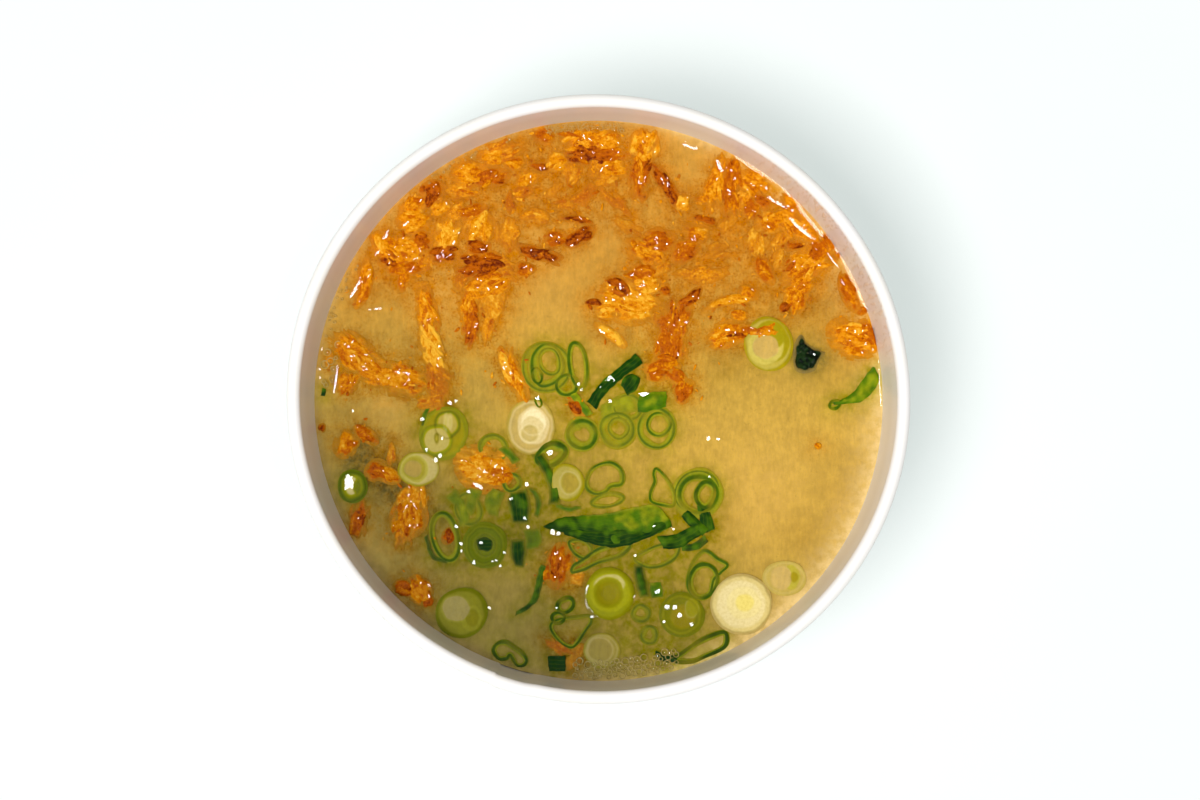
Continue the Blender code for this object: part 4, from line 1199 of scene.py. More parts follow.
# further leaf, mostly under the surface: (one side, other side, lift, tones, arch, sink)
SMALL_LEAVES = (
    (((-11, -31), (-11.9, -34.5), (-13, -38), (-15.6, -40)),
     ((-9.8, -31.4), (-10.6, -34.8), (-12, -38.6), (-15.8, -40.9)),
     0, ((0.6, 0.75), (0.7, 0.85)), 0.05, 0.3),
    (((-16.8, -17.4), (-17.2, -20), (-16.2, -23.4)), ((-13.6, -16.8), (-12.8, -20), (-13.2, -23.6)),
     0.02, ((0.8, 0.95, 0.8), (0.95, 0.7, 0.95), (0.9, 1, 0.8)), 0.1, 0.5),
    (((-13.4, -16.6), (-12, -19), (-12.2, -22)), ((-11.8, -17), (-10.8, -19.4), (-11.4, -22.4)),
     -0.1, ((0.8, 0.6), (0.9, 0.7)), 0, 0.4),
    (((-16.6, -26.4), (-16.8, -29), (-15.8, -31.6)), ((-14, -26.2), (-13.6, -29.2), (-14.2, -31.8)),
     -0.06, ((0.9, 1, 0.9), (1.1, 0.9, 1)), 0.1, 0.5),
    (((-14.2, -24.6), (-13.8, -26.6), (-14, -28.4)), ((-11.2, -24.4), (-10.6, -26.4), (-11.4, -28)),
     -0.15, ((0.5, 0.6, 0.5), (0.7, 0.5, 0.7)), 0, 0.5),
    (((-12.8, -10.4), (-10.8, -13.6), (-9.4, -17), (-9.4, -19.8)),
     ((-10.6, -9.8), (-8.4, -13.2), (-7, -16.8), (-7.4, -19.8)), 0.08,
     ((1, 0.8, 0.9), (0.8, 0.6, 0.95), (0.9, 0.8, 0.9)), 0.15, 0.4),
    (((-8, -19.4), (-5.6, -20.2), (-3.4, -20)), ((-8.2, -20.4), (-5.6, -21.2), (-3.2, -20.6)),
     -0.15, ((0.6, 0.7), (0.5, 0.6)), 0, 0.4),
    (((-19, -9.4), (-17.6, -10.6), (-16.2, -12.2)), ((-17.6, -8.6), (-16.2, -9.8), (-14.8, -11.4)),
     -0.1, ((0.8, 0.5), (0.6, 0.5)), 0.05, 0.4),
    (((-29, -18.4), (-27, -20.6), (-26.4, -24)), ((-27, -16.8), (-24.8, -20), (-24.2, -24)),
     -0.25, ((0.35, 0.2, 0.4), (0.3, 0.15, 0.3)), 0.1, 0.5),
    (((-24.4, -16.6), (-25.4, -19.6), (-25.8, -21.6)), ((-22, -17.2), (-23, -20), (-24, -22)),
     -0.3, ((0.35, 0.15, 0.4), (0.25, 0.15, 0.3)), 0.1, 0.5),
    (((-20, -16.6), (-21.6, -19), (-21, -21.6)), ((-17.6, -17.6), (-18.6, -20), (-19, -22.2)),
     -0.4, ((0.4, 0.3, 0.4), (0.3, 0.3, 0.4)), 0.1, 0.5),
    (((6.6, -31.2), (6.8, -34), (7.8, -37.6)), ((8.4, -30.8), (9.2, -34), (9.8, -37.2)),
     0.05, ((0.95, 0.8, 0.95), (0.85, 0.7, 0.9)), 0.12, 0.4),
    (((9.6, -34.6), (10, -37.6)), ((11.9, -34.4), (12.2, -37.2)),
     0.12, ((0.35, 0.2, 0.4), (0.5, 0.3, 0.5)), 0.1, 0.3),
    (((10.8, -47.4), (12.6, -48.2), (14.9, -48.4)), ((10.6, -48.6), (12.6, -49.6), (14.8, -49.7)),
     0.12, ((1.1, 1.2), (1.1, 1)), 0.1, 0.1),
    (((-5.6, 1), (-3.8, -1.2), (-2.2, -3.2)), ((-4.2, 1.4), (-2.4, -0.8), (-1, -2.6)),
     0.08, ((0.25, 0.15), (0.3, 0.2)), 0.1, 0.3),
    (((0.2, -1.2), (3.2, 0.6), (6.4, 1.4)), ((0.8, -4.6), (4, -3.2), (7.4, -2)), -0.45,
     ((0.3, 0.2, 0.3), (0.25, 0.15, 0.2)), 0.1, 0.5),
    (((-23.2, -26.4), (-21.4, -25.6), (-20, -26.6)), ((-22.6, -28.6), (-21, -29), (-19.8, -28.2)),
     0, ((1.2, 1.1, 1.2), (1.1, 1.2, 1.1)), 0.1, 0.3),
    (((-32.8, -1.6), (-33.6, -4), (-33.2, -6.6)), ((-32, -1.6), (-32.6, -4), (-32.2, -6.6)),
     -0.1, ((0.7, 0.8), (0.6, 0.7)), 0, 0.3),
    (((-33, -26), (-31.6, -30), (-28.6, -31)), ((-32.4, -25.4), (-31, -29.2), (-28.4, -30.2)),
     -0.1, ((0.8, 0.9), (0.8, 0.8)), 0, 0.3),
    (((-52.6, 0.8), (-52.3, 2.2)), ((-51.9, 0.7), (-51.6, 2.1)), 0.1, ((0.8, 0.9), (0.8, 0.8)), 0, 0.2),
)
for seed, (node, parts) in enumerate(LEAF_PIECES.items()):
    shape = Garnish(*LEAF_VALUES)
    for part, (side_a, side_b, lift, tones, arch, sink) in enumerate(parts):
        leaf_strip(shape, side_a, side_b, lift, tones, arch, sink, seed=seed * 3 + part + 80)
        afloat.add(around(side_a, side_b), green=0.8)
    shape.finish(node.replace("leaf_piece", "cut_leaf"), green_leaf, (node,), "green_onion")
shape = Garnish(*LEAF_VALUES)
for seed, (side_a, side_b, lift, tones, arch, sink) in enumerate(SMALL_LEAVES):
    leaf_strip(shape, side_a, side_b, lift, tones, arch, sink, seed=seed + 100)
    afloat.add(around(side_a, side_b), green=0.7)
shape.finish("small_cut_leaves", green_leaf, (), "green_onion")

# a leaf tip rolled up at the wall
shape = Garnish(*LEAF_VALUES)
leaf_loop(shape, oval(44.7, -0.9, 1.0, 0.75, 20, 48, 0.1, 8), 0.4, 0.12, 0.3, 0.6, seed=9)
shape.finish("rolled_leaf_tip", green_leaf, (), "green_onion")


# ---- wakame
WAKAME = (
    (37.4, 10.4), (38.5, 12), (39.6, 10.6), (41, 9.6), (42.6, 9), (41.6, 7.6), (40.9, 6), (39.2, 5.4),
    (37.6, 5.9), (37.2, 7.6),
)


def make_wakame_piece():
    """A rumpled scrap of wakame over an outline, its edge under the surface."""
    outline = anticlockwise(closed_curve(WAKAME, 72))
    middle = outline.mean(0)
    t = np.linspace(1.12, 0.03, 26)
    flat = middle + (outline[None] - middle) * t[:, None, None]
    shape_2d = flat.reshape(-1, 2)
    folds = 0.6 * rough(in_plane(shape_2d), 1.7, 7) + 0.5 * rough(in_plane(shape_2d), 0.8, 8)
    folds = folds.reshape(len(t), -1)
    height = 0.35 + 0.5 * folds - 1.5 * smooth(t, 0.75, 1.12)[:, None]
    shape = Garnish("tone")
    shape.add(np.dstack([flat, LEVEL + height]), grid_faces(len(t), len(outline), False, True))
    inner = (len(t) - 1) * len(outline)
    shape.faces.append([inner + i for i in range(len(outline))])
    close_below(shape, list(range(len(outline))), [], (*middle, LEVEL + SUNK_FLOOR))
    shape.finish("wakame_leaf_piece", wakame_leaf, ("wakame_piece",), "wakame")
    afloat.add(outline, green=0.3)


make_wakame_piece()


# ---- fried onion flakes
FLAKE_CELL = 0.24
FRINGE_SHARE = 0.70                           # share of a patch's half width that stands clear
FIBRE_STRETCH = 2.2


def fried_patch(shape, x, y, length, width, turn, tone, lift, seed):
    """A frayed shred of fried onion: ridged where it stands out of the broth, its fringe sunk in it."""
    draw = random.Random(seed)
    a, b = length / 2 / FRINGE_SHARE + 0.1, width / 2 / FRINGE_SHARE + 0.2
    columns, rows = (max(int(2 * half / FLAKE_CELL), 9) for half in (a, b))
    ux, uy, faces, edge = disc_grid(columns, rows)
    bend = draw.uniform(-0.12, 0.12) * length
    along, across = ux * a, uy * b + bend * (ux**2 - 0.4)
    c, s = math.cos(math.radians(turn)), math.sin(math.radians(turn))
    flat = np.stack([x + along * c - across * s, y + along * s + across * c], -1)
    local = np.column_stack([along / FIBRE_STRETCH, across, np.full(len(ux), seed * 3.1)])
    sizes = (1.2, 0.5, 1.0, 0.6)
    lump, crease, fray, tint = (rough(local, size, shift) for shift, size in enumerate(sizes))
    size = min(1.0, 0.35 + width / 4)
    sunk = smooth(np.hypot(ux, uy) + 0.26 * fray + 0.10 * crease, 0.42, 1.0)
    crest = size * (0.22 * lump + 0.34 * (0.4 - np.abs(crease))) + 0.2
    height = lift + crest - 1.75 * sunk
    value = tone + 0.26 * tint - 0.16 * lump + 0.18 * np.abs(crease)
    shape.add(np.column_stack([flat, LEVEL + height]), faces, tone=value)
    close_below(shape, edge, [], (x, y, LEVEL + SUNK_FLOOR))
    for i in draw.sample(range(len(ux)), min(len(ux), int(1 + length * width * 0.9))):
        if height[i] > 0.05 and lump[i] > -0.1:
            gleams.append((*flat[i], height[i], draw.uniform(0.12, 0.4)))
    return oval(x, y, length / 2, width / 2, turn, 24)


def add_flake(shape, x, y, length, width, turn, tone, lift, seed):
    """A flake: one patch and a few thin shreds across it."""
    draw = random.Random(seed + 900)
    outline = fried_patch(shape, x, y, length, width, turn, tone, lift, seed)
    for number in range(min(int(length * width / 5), 5)):
        away, side = draw.uniform(-0.35, 0.35) * length, draw.uniform(-0.4, 0.4) * width
        c, s = math.cos(math.radians(turn)), math.sin(math.radians(turn))
        fried_patch(
            shape, x + away * c - side * s, y + away * s + side * c, draw.uniform(0.35, 0.7) * length,
            draw.uniform(0.5, 0.95), turn + draw.uniform(-32, 32), tone + draw.uniform(-0.25, 0.3),
            lift + draw.uniform(0.0, 0.25), seed * 10 + number + 3000,
        )
    return outline


PALE, YELLOW, ORANGE, BROWN, DARK = 0.05, 0.25, 0.45, 0.75, 1.0
HIGH, UP, EVEN, SUNK, DEEP = 0.35, 0.15, -0.1, -0.45, -0.8

# flakes that are CAD pieces: node number: parts of (x, y, length, width, turn, tone, lift)
FLAKES = {
    1: (
        (-32.4, 16.6, 8.5, 2.8, -80, ORANGE, UP), (-31.4, 9.4, 8.5, 3, -72, PALE, UP),
        (-30.6, 4.6, 6, 4, -60, BROWN, SUNK),
    ),
    2: ((-46, 8.4, 9, 5, -42, ORANGE, UP), (-42.6, 5.4, 7, 4, -20, ORANGE, EVEN)),
    3: ((48.6, 11.8, 8, 5.4, -14, ORANGE, UP), (51.2, 12.4, 4.5, 3.4, -70, BROWN, HIGH)),
    4: ((-21.7, -12.9, 8.4, 6.2, -14, YELLOW, UP), (-19.4, -14.2, 4.5, 3.6, 20, ORANGE, HIGH)),
    5: (
        (-35.4, -19.2, 5, 4.6, 60, YELLOW, EVEN), (-36, -22.2, 6, 5, 75, ORANGE, HIGH),
        (-37, -25.4, 5, 3.2, 85, ORANGE, SUNK),
    ),
    6: ((-33.8, -36, 4.4, 3.2, -60, ORANGE, HIGH), (-37, -35.6, 2.8, 2.4, 0, BROWN, UP)),
    7: ((-7.5, -31.4, 6.4, 3.6, 78, BROWN, UP),),
    8: ((-16, 4.4, 9, 2.4, -66, ORANGE, UP), (-17.2, 5.4, 6, 1.3, -70, PALE, HIGH)),
    9: ((12.8, 40.6, 8.2, 1.7, -56, DARK, HIGH),),
    10: (
        (5.6, 18.6, 9, 6, -15, YELLOW, UP), (4, 21.2, 4.4, 2.6, -40, DARK, HIGH),
        (8.6, 24.4, 5.2, 2.6, 15, BROWN, UP),
    ),
    11: (
        (14.6, 14.6, 8, 5.6, 80, BROWN, EVEN), (13.4, 10.4, 6, 5, 70, BROWN, EVEN),
        (13, 7.2, 4, 3.2, 0, BROWN, UP),
    ),
    12: ((24.2, 12.4, 5.6, 3.6, 20, ORANGE, UP), (27.4, 12.6, 5, 2.2, 5, BROWN, HIGH)),
    13: ((9.2, 28, 6.5, 4, -35, ORANGE, EVEN), (11.6, 30.2, 5, 3.4, 10, BROWN, UP)),
    14: ((-2.2, 49.2, 7, 3.8, 5, ORANGE, UP), (-2.4, 46.6, 6, 3.2, -5, DARK, UP)),
    15: ((8.6, 48.2, 5, 4.2, 80, YELLOW, UP), (8, 43, 8, 3.4, 86, BROWN, EVEN)),
    16: ((22.4, 41.2, 9.5, 2.6, 76, ORANGE, EVEN), (25.2, 40.8, 9.5, 3, 84, BROWN, UP)),
    17: ((-24.4, 43, 6, 3.2, -8, ORANGE, UP), (-20.4, 42.4, 5.5, 2.4, 5, BROWN, HIGH)),
    18: ((39.6, 25.6, 8.5, 4, 30, ORANGE, UP), (41.8, 28.2, 5, 3, 60, BROWN, UP)),
}

for number, parts in FLAKES.items():
    shape = Garnish("tone")
    for part, row in enumerate(parts):
        outline = add_flake(shape, *row, seed=number * 5 + part)
        afloat.add(outline, amber=0.9)
    shape.finish(f"fried_onion_{number}", fried_onion, (f"fried_flake_{number}",), "fried_onion")

# the smaller flakes: (x, y, length, width, turn, tone, lift)
SMALL_FLAKES = (
    (-31.5, 39.3, 4, 3.2, 45, DARK, HIGH), (-35.3, 37, 4, 2.6, 30, ORANGE, UP),
    (-35, 34.5, 5, 4, 20, ORANGE, UP), (-40.5, 28.5, 6, 4, -60, ORANGE, UP),
    (-33.5, 30.2, 3, 2.5, 0, BROWN, HIGH), (-28.8, 31.5, 5, 4, 70, YELLOW, UP),
    (-29.2, 27.6, 5, 3, 5, DARK, UP), (-37.2, 28.4, 7, 4.4, -10, ORANGE, UP),
    (-10.5, 50.2, 3, 2.6, 0, BROWN, UP), (-18, 47.4, 8, 3.8, 5, ORANGE, SUNK),
    (-13.5, 42, 4, 2, 10, ORANGE, EVEN), (-11.3, 44.3, 2.8, 1.3, -15, DARK, UP),
    (-8, 45.2, 3, 2.5, 0, YELLOW, UP), (-5, 43, 4, 3, 80, ORANGE, SUNK),
    (-2.5, 38.8, 6, 2.5, 40, BROWN, SUNK), (-16.8, 37.6, 3.5, 1.8, 85, BROWN, SUNK),
    (-12, 35, 5, 2.5, 0, ORANGE, SUNK), (-26, 40, 5, 3, 0, ORANGE, SUNK),
    (-24, 35.8, 4.4, 1.7, 20, BROWN, HIGH), (-22.8, 33, 4.8, 4.4, 80, YELLOW, UP),
    (-22.8, 29.2, 3.4, 2.6, -10, DARK, HIGH), (-17, 31.5, 6, 3.5, 80, ORANGE, SUNK),
    (-11.5, 28, 7, 1.6, -15, DARK, HIGH), (-4.5, 34.3, 5, 0.9, -10, DARK, UP),
    (-8.2, 30.5, 3.5, 2.5, 10, BROWN, UP), (-3.5, 31, 4.8, 2, 30, DARK, HIGH),
    (1.5, 49, 4, 3, 10, ORANGE, UP), (2, 46.5, 6, 2, 0, BROWN, UP), (3, 44.2, 6, 2.6, -5, ORANGE, EVEN),
    (1.5, 42, 4, 2.5, 0, ORANGE, SUNK), (3, 37.8, 7.5, 1.6, -40, BROWN, SUNK),
    (15.8, 37.2, 3, 2.4, 60, YELLOW, EVEN), (19.8, 34.3, 4.5, 1.1, -10, DARK, EVEN),
    (18.5, 31.8, 4, 2.8, 0, ORANGE, UP), (16.5, 28.5, 5, 3, 40, BROWN, UP),
    (29.5, 41.2, 4.4, 3.6, -40, ORANGE, HIGH), (28.8, 36.5, 4, 3, 80, BROWN, EVEN),
    (33, 34, 5, 3, 20, ORANGE, UP), (36.5, 37.6, 3.4, 2, -45, ORANGE, HIGH),
    (37.4, 33, 7, 4, -40, ORANGE, EVEN), (37.2, 29.3, 3.2, 1.3, 10, DARK, UP),
    (45.8, 27.7, 2.4, 1.4, 0, BROWN, HIGH), (30, 30, 5, 4, 70, YELLOW, SUNK),
    (-44.6, 22, 7, 1.8, 78, ORANGE, HIGH), (-37.3, 23.5, 4.5, 2.2, 85, BROWN, EVEN),
    (-36.5, 24.8, 5, 1.8, 0, BROWN, HIGH), (-39.5, 26.6, 3.5, 2.6, 0, DARK, UP),
    (-47.5, 3.3, 4.2, 3.4, 60, ORANGE, EVEN), (-37, 4, 7, 5.4, -10, ORANGE, EVEN),
    (-30.5, 1.4, 5, 3.8, 80, BROWN, SUNK), (-50.8, 7.6, 3, 1.3, 85, ORANGE, SUNK),
    (-22.5, 25.5, 7, 4.3, 5, DARK, UP), (-21, 22, 8.6, 4.6, 10, ORANGE, EVEN),
    (-24.3, 18.5, 6, 3, 80, ORANGE, EVEN), (-20, 18, 6, 4, 85, YELLOW, SUNK),
    (-24, 13.8, 7, 2.5, 85, BROWN, EVEN), (-20.8, 14, 6, 1.8, 80, ORANGE, SUNK),
    (-14, 25, 3, 2, 10, BROWN, UP), (-18, 25.2, 4, 3, -10, ORANGE, SUNK),
    (-0.7, 18.3, 2.6, 0.9, -10, DARK, UP), (1.5, 16.8, 3, 2, 0, PALE, UP),
    (2.3, 12.5, 5.4, 1.3, -35, PALE, HIGH), (9, 22, 4, 3, 0, YELLOW, UP),
    (12.8, 21, 1.8, 1.5, 0, BROWN, UP), (17.5, 19.3, 4.2, 1.4, 45, DARK, HIGH),
    (11, 5.5, 4.2, 2.5, 0, BROWN, UP), (14.8, 4.5, 3.2, 2, -40, BROWN, UP),
    (16.3, 1.7, 3.6, 2.6, 60, BROWN, UP), (20, 24, 8, 3.2, 0, ORANGE, SUNK),
    (25, 18.7, 7, 1.1, 12, YELLOW, HIGH), (26.8, 16, 2.4, 1.5, 0, ORANGE, UP),
    (31.3, 25, 5.2, 2, -60, BROWN, UP), (38, 22, 5, 3, 20, ORANGE, EVEN),
    (37.5, 19, 4, 3, 70, ORANGE, UP), (35.5, 17.5, 1.8, 1.2, 30, DARK, HIGH),
    (47.5, 20.5, 6, 2.1, -70, BROWN, HIGH), (50.2, 17, 2.2, 1.5, 0, BROWN, UP),
    (31, 13.2, 6.5, 2.2, 8, ORANGE, HIGH), (28.5, 20.5, 3, 2.2, 0, ORANGE, UP),
    (-47.8, -8.3, 4.2, 3.2, 60, ORANGE, UP), (-44, -6.6, 4, 1.8, -35, BROWN, HIGH),
    (-41.8, -13.5, 3.6, 3, 0, BROWN, UP), (-39.8, -14.2, 3.6, 2, -30, ORANGE, HIGH),
    (-39.3, -10, 4.4, 1.4, 75, ORANGE, SUNK), (-45.3, -22.5, 6, 3, 80, BROWN, EVEN),
    (-28.5, -25.8, 2.3, 1.5, 70, DARK, HIGH), (-32, -0.5, 4, 3, 0, ORANGE, SUNK),
    (-4.2, -1.4, 3.4, 1.4, -60, DARK, HIGH), (-32.3, -38, 2, 1.4, 70, BROWN, UP),
    (-9.8, -33, 2, 1.4, 60, ORANGE, UP), (-4, -33.8, 3, 2.5, 0, YELLOW, SUNK),
    (-7.5, -46.7, 6, 1.6, -30, BROWN, SUNK), (-4.5, -48.5, 5, 3, 80, ORANGE, DEEP),
    (41.6, -8.7, 0.9, 0.7, 0, ORANGE, UP), (20.4, 38.6, 3.4, 1.8, 30, ORANGE, EVEN),
    (34.2, 26.8, 3.2, 2, 70, YELLOW, SUNK), (43.8, 30, 3.6, 2, -50, BROWN, UP),
    (-30.4, 36.4, 3.4, 2.4, 20, ORANGE, EVEN), (-15.8, 45, 3.6, 2, 0, ORANGE, UP),
    (-8.8, 39.6, 3.8, 2.2, 60, ORANGE, DEEP), (-33.8, 21.8, 3.6, 2, 10, ORANGE, DEEP),
    (24.6, 33.8, 4.2, 2.4, 60, ORANGE, DEEP), (5.6, 33.2, 5, 2.6, -30, ORANGE, DEEP),
    (22.6, 28, 4.6, 3, 20, ORANGE, DEEP), (-52.4, -5.3, 1.3, 0.9, 80, DARK, UP),
    (-27, 35.6, 4.4, 2.6, 40, ORANGE, SUNK), (-14.6, 39.4, 4, 2.2, 20, BROWN, SUNK),
    (-0.4, 44.6, 4.6, 2.4, 80, ORANGE, SUNK), (-6, 37, 4.2, 2, -20, ORANGE, SUNK),
    (27, 38, 4.2, 2.4, 60, ORANGE, SUNK), (31.6, 37.6, 3.6, 2.2, -30, BROWN, EVEN),
    (34.6, 30.6, 4.2, 2.4, 30, ORANGE, SUNK), (40.4, 31.4, 3, 1.8, -50, ORANGE, UP),
    (-20, 46, 4, 2.2, 10, ORANGE, UP), (12, 25, 3.6, 2, 30, ORANGE, SUNK),
    (-33, 26, 4, 2.4, 60, ORANGE, SUNK), (-26, 23, 3.6, 2, 80, BROWN, SUNK),
)

shape = Garnish("tone")
for seed, row in enumerate(SMALL_FLAKES):
    outline = add_flake(shape, *row, seed=seed + 200)
    afloat.add(outline, amber=0.8 if row[2] > 2.5 else 0.4)
shape.finish("small_fried_flakes", fried_onion, (), "fried_onion")


def add_crumbs():
    """Crumbs of fried onion scattered near the flakes."""
    draw = random.Random(17)
    ball = bmesh.new()
    bmesh.ops.create_icosphere(ball, subdivisions=2, radius=1.0)
    points = np.array([v.co for v in ball.verts])
    faces = [[v.index for v in face.verts] for face in ball.faces]
    ball.free()
    shape = Garnish("tone")
    places = [(row[0], row[1], max(row[2], row[3])) for row in SMALL_FLAKES if row[1] > -8]
    places += [(row[0], row[1], max(row[2], row[3])) for parts in FLAKES.values() for row in parts]
    for number in range(CRUMBS):
        x, y, reach = draw.choice(places)
        x, y = x + draw.gauss(0, reach * 0.45), y + draw.gauss(0, reach * 0.45)
        if math.hypot(x, y) > board_radius(LEVEL) - 1.2:
            continue
        size = draw.uniform(0.10, 0.34)
        lumpy = 1 + 0.35 * rough(points, 0.9, number)
        body = points * lumpy[:, None] * size * (draw.uniform(0.8, 2.4), draw.uniform(0.6, 1.1), 0.6)
        turn = draw.uniform(0, 2 * math.pi)
        c, s = math.cos(turn), math.sin(turn)
        body = body @ np.array([[c, s, 0], [-s, c, 0], [0, 0, 1]])
        lift = draw.choice((0.02, -0.1, -0.3, -0.5))
        tone = draw.choice((YELLOW, ORANGE, ORANGE, BROWN, DARK))
        shape.add(body + (x, y, LEVEL + lift), faces, tone=tone)
    shape.finish("fried_crumbs", fried_onion, (), "fried_onion")


CRUMBS = 620
add_crumbs()


# ---- drops, wet points and bubbles
LEAN = (0.107, 0.09)                          # slope of a drop towards the window
DROP_STEPS = 12


def add_drop(shape, x, y, z, half, turn=0.0, longer=1.0, seed=0):
    """A thin clear drop that leans towards the window, on what is under it."""
    rings = []
    for share in (1.0, 0.7, 0.35):
        flat = oval(x, y, half * longer * share, half * share, turn, DROP_STEPS, 0.16, seed)
        height = z + 0.03 * half * (1 - share**2) + (flat - (x, y)) @ LEAN
        rings.append(np.column_stack([flat, LEVEL + height]))
    shape.add(np.concatenate(rings), grid_faces(len(rings), DROP_STEPS, False, True))
    first = shape.count - DROP_STEPS * len(rings)
    shape.faces.append([first + DROP_STEPS * (len(rings) - 1) + i for i in range(DROP_STEPS)])
    shape.add([(x, y, LEVEL + z - 0.4 * half)], [])
    for i in range(DROP_STEPS):
        shape.faces.append([first + i, first + (i + 1) % DROP_STEPS, shape.count - 1])


# drops that catch the window: (x, y, half width), and for a long one (times longer, turn)
WET_POINTS = (
    (20.8, -7.3, 0.9), (22.6, -7.4, 0.8), (10.5, -24, 0.9), (14.2, -24.4, 0.7), (-8.7, -25, 1.1),
    (-7.6, -25.3, 0.9), (12.9, -39.2, 1.1), (14.4, -39.2, 1), (15.4, -40.8, 1.2), (12.4, -42, 0.8),
    (17.6, -42.4, 0.8), (31.7, 10.5, 1), (33.8, 10.8, 0.8), (34.2, 8.5, 0.9), (31.9, 7, 0.7),
    (-30.9, -11.4, 1.2), (-30, -10.6, 1), (-32.6, -9.4, 0.8), (-9.2, -10, 1.3), (-14, -22.4, 0.8),
    (-13.4, -24, 0.7), (-24.6, -17.4, 0.7), (-28.9, -39, 0.8), (-20.6, -39.4, 0.7), (-11.6, 0.4, 1),
    (2.6, 3.8, 1.1, 1, 60), (0.4, 2.2, 0.8), (-3.8, 3, 0.7), (-3.2, 2, 0.6), (8.6, 1, 0.8, 2.2, 5),
    (11.2, -36.2, 0.8, 1.8, 40), (2.2, -0.2, 0.7), (-26.9, -24, 0.8), (-26, -27.2, 0.9),
    (-26, -28.6, 0.7), (-22.2, -27, 0.8), (-23.6, -30.8, 0.9), (-19.4, -30.4, 0.7), (-17.8, -28.8, 0.7),
    (-18.6, -31.4, 0.6), (-29.6, -7.2, 0.7), (-33.4, -3.6, 0.8), (-28.2, -0.6, 0.9), (-27, -0.2, 0.7),
    (-16.6, -18.8, 0.7), (-13.6, -16, 1), (-18, -14.2, 0.6), (-47.4, -15.6, 1, 1.8, 80),
    (7, -29.4, 0.6), (-52.6, 9.6, 0.7), (-53, 5.8, 0.8), (-52.8, 4.2, 0.7), (-41.8, 17.4, 0.8, 2, 0),
    (-43.4, 17.2, 0.7), (-46.6, -2, 0.6), (-20, -30.6, 0.5), (-1.2, -41, 0.8), (-8, -39.4, 0.6),
    (21, -14.6, 0.6), (40.9, 8.6, 0.7),
)
# long glints on pieces and along the wall: (x, y, height, half width, times longer, turn)
LONG_GLINTS = (
    (-2, -35.9, 0.5, 0.42, 2.6, 76), (-1.5, -37.5, 0.5, 0.4, 3, 122),
    (-47.6, -15.5, 0.35, 0.55, 2.9, 84), (-46.8, -15.8, 0.35, 0.4, 3, 92),
    (-22.8, -16.3, 0.5, 0.35, 3.2, -28), (8.6, 1.2, 0.45, 0.3, 3.6, 5),
    (47.4, 21.2, 0.3, 0.5, 1.8, -60), (2, 4, 0.4, 0.35, 2, 50), (0.6, 13, 0.4, 0.25, 3, -35),
    (34, 37.6, 0.3, 0.5, 4.4, -30), (38.8, 32.4, 0.5, 0.55, 6, -40), (17.4, 48.3, 0.25, 0.45, 3.6, -20),
    (23, 44.5, 0.3, 0.45, 2.8, -62), (-40.5, 31.2, 0.25, 0.35, 3.4, 58),
    (-42, 28.1, 0.25, 0.3, 2.6, 50), (-46.2, 21.2, 0.25, 0.42, 5.2, 61),
    (-49.8, 3.8, 0.25, 0.25, 11, 82), (53.3, 3, 0.3, 0.12, 38, -87), (44.6, 26.4, 0.3, 0.2, 9, -52),
    (-36.6, 33.6, 0.25, 0.3, 3, 48), (31, 40.8, 0.3, 0.25, 5, -34),
)


def add_drops():
    """Drops of oil and broth on the flakes, the leaf and the surface."""
    shape = Wet()
    draw = random.Random(23)
    for x, y, half, *drawn in WET_POINTS:
        longer, turn = drawn or (1, 0)
        add_drop(shape, x, y, 0.3, half * 0.45, turn, longer, draw.randrange(999))
    for x, y, height, half, longer, turn in LONG_GLINTS:
        add_drop(shape, x, y, height, half, turn, longer, draw.randrange(999))
    for x, y, height, half in gleams:
        turn, longer = draw.uniform(0, 180), draw.uniform(1, 2.4)
        add_drop(shape, x, y, height + 0.03, half * 0.55, turn, longer, draw.randrange(999))
    shape.finish("clear_drops", clear_drop, (), "broth")


# groups of bubbles: (start angle, end angle, nearest and farthest from the wall, least and most
# radius, number)
FROTH = (
    (-95, -73, 0.1, 3.4, 0.34, 0.7, 115), (85, 101, 0.1, 1.6, 0.12, 0.35, 90),
    (167, 178, 0.6, 3.2, 0.3, 1.1, 9), (150, 167, 0.2, 1.4, 0.12, 0.3, 22),
    (108, 128, 0.2, 1.2, 0.1, 0.25, 20),
)


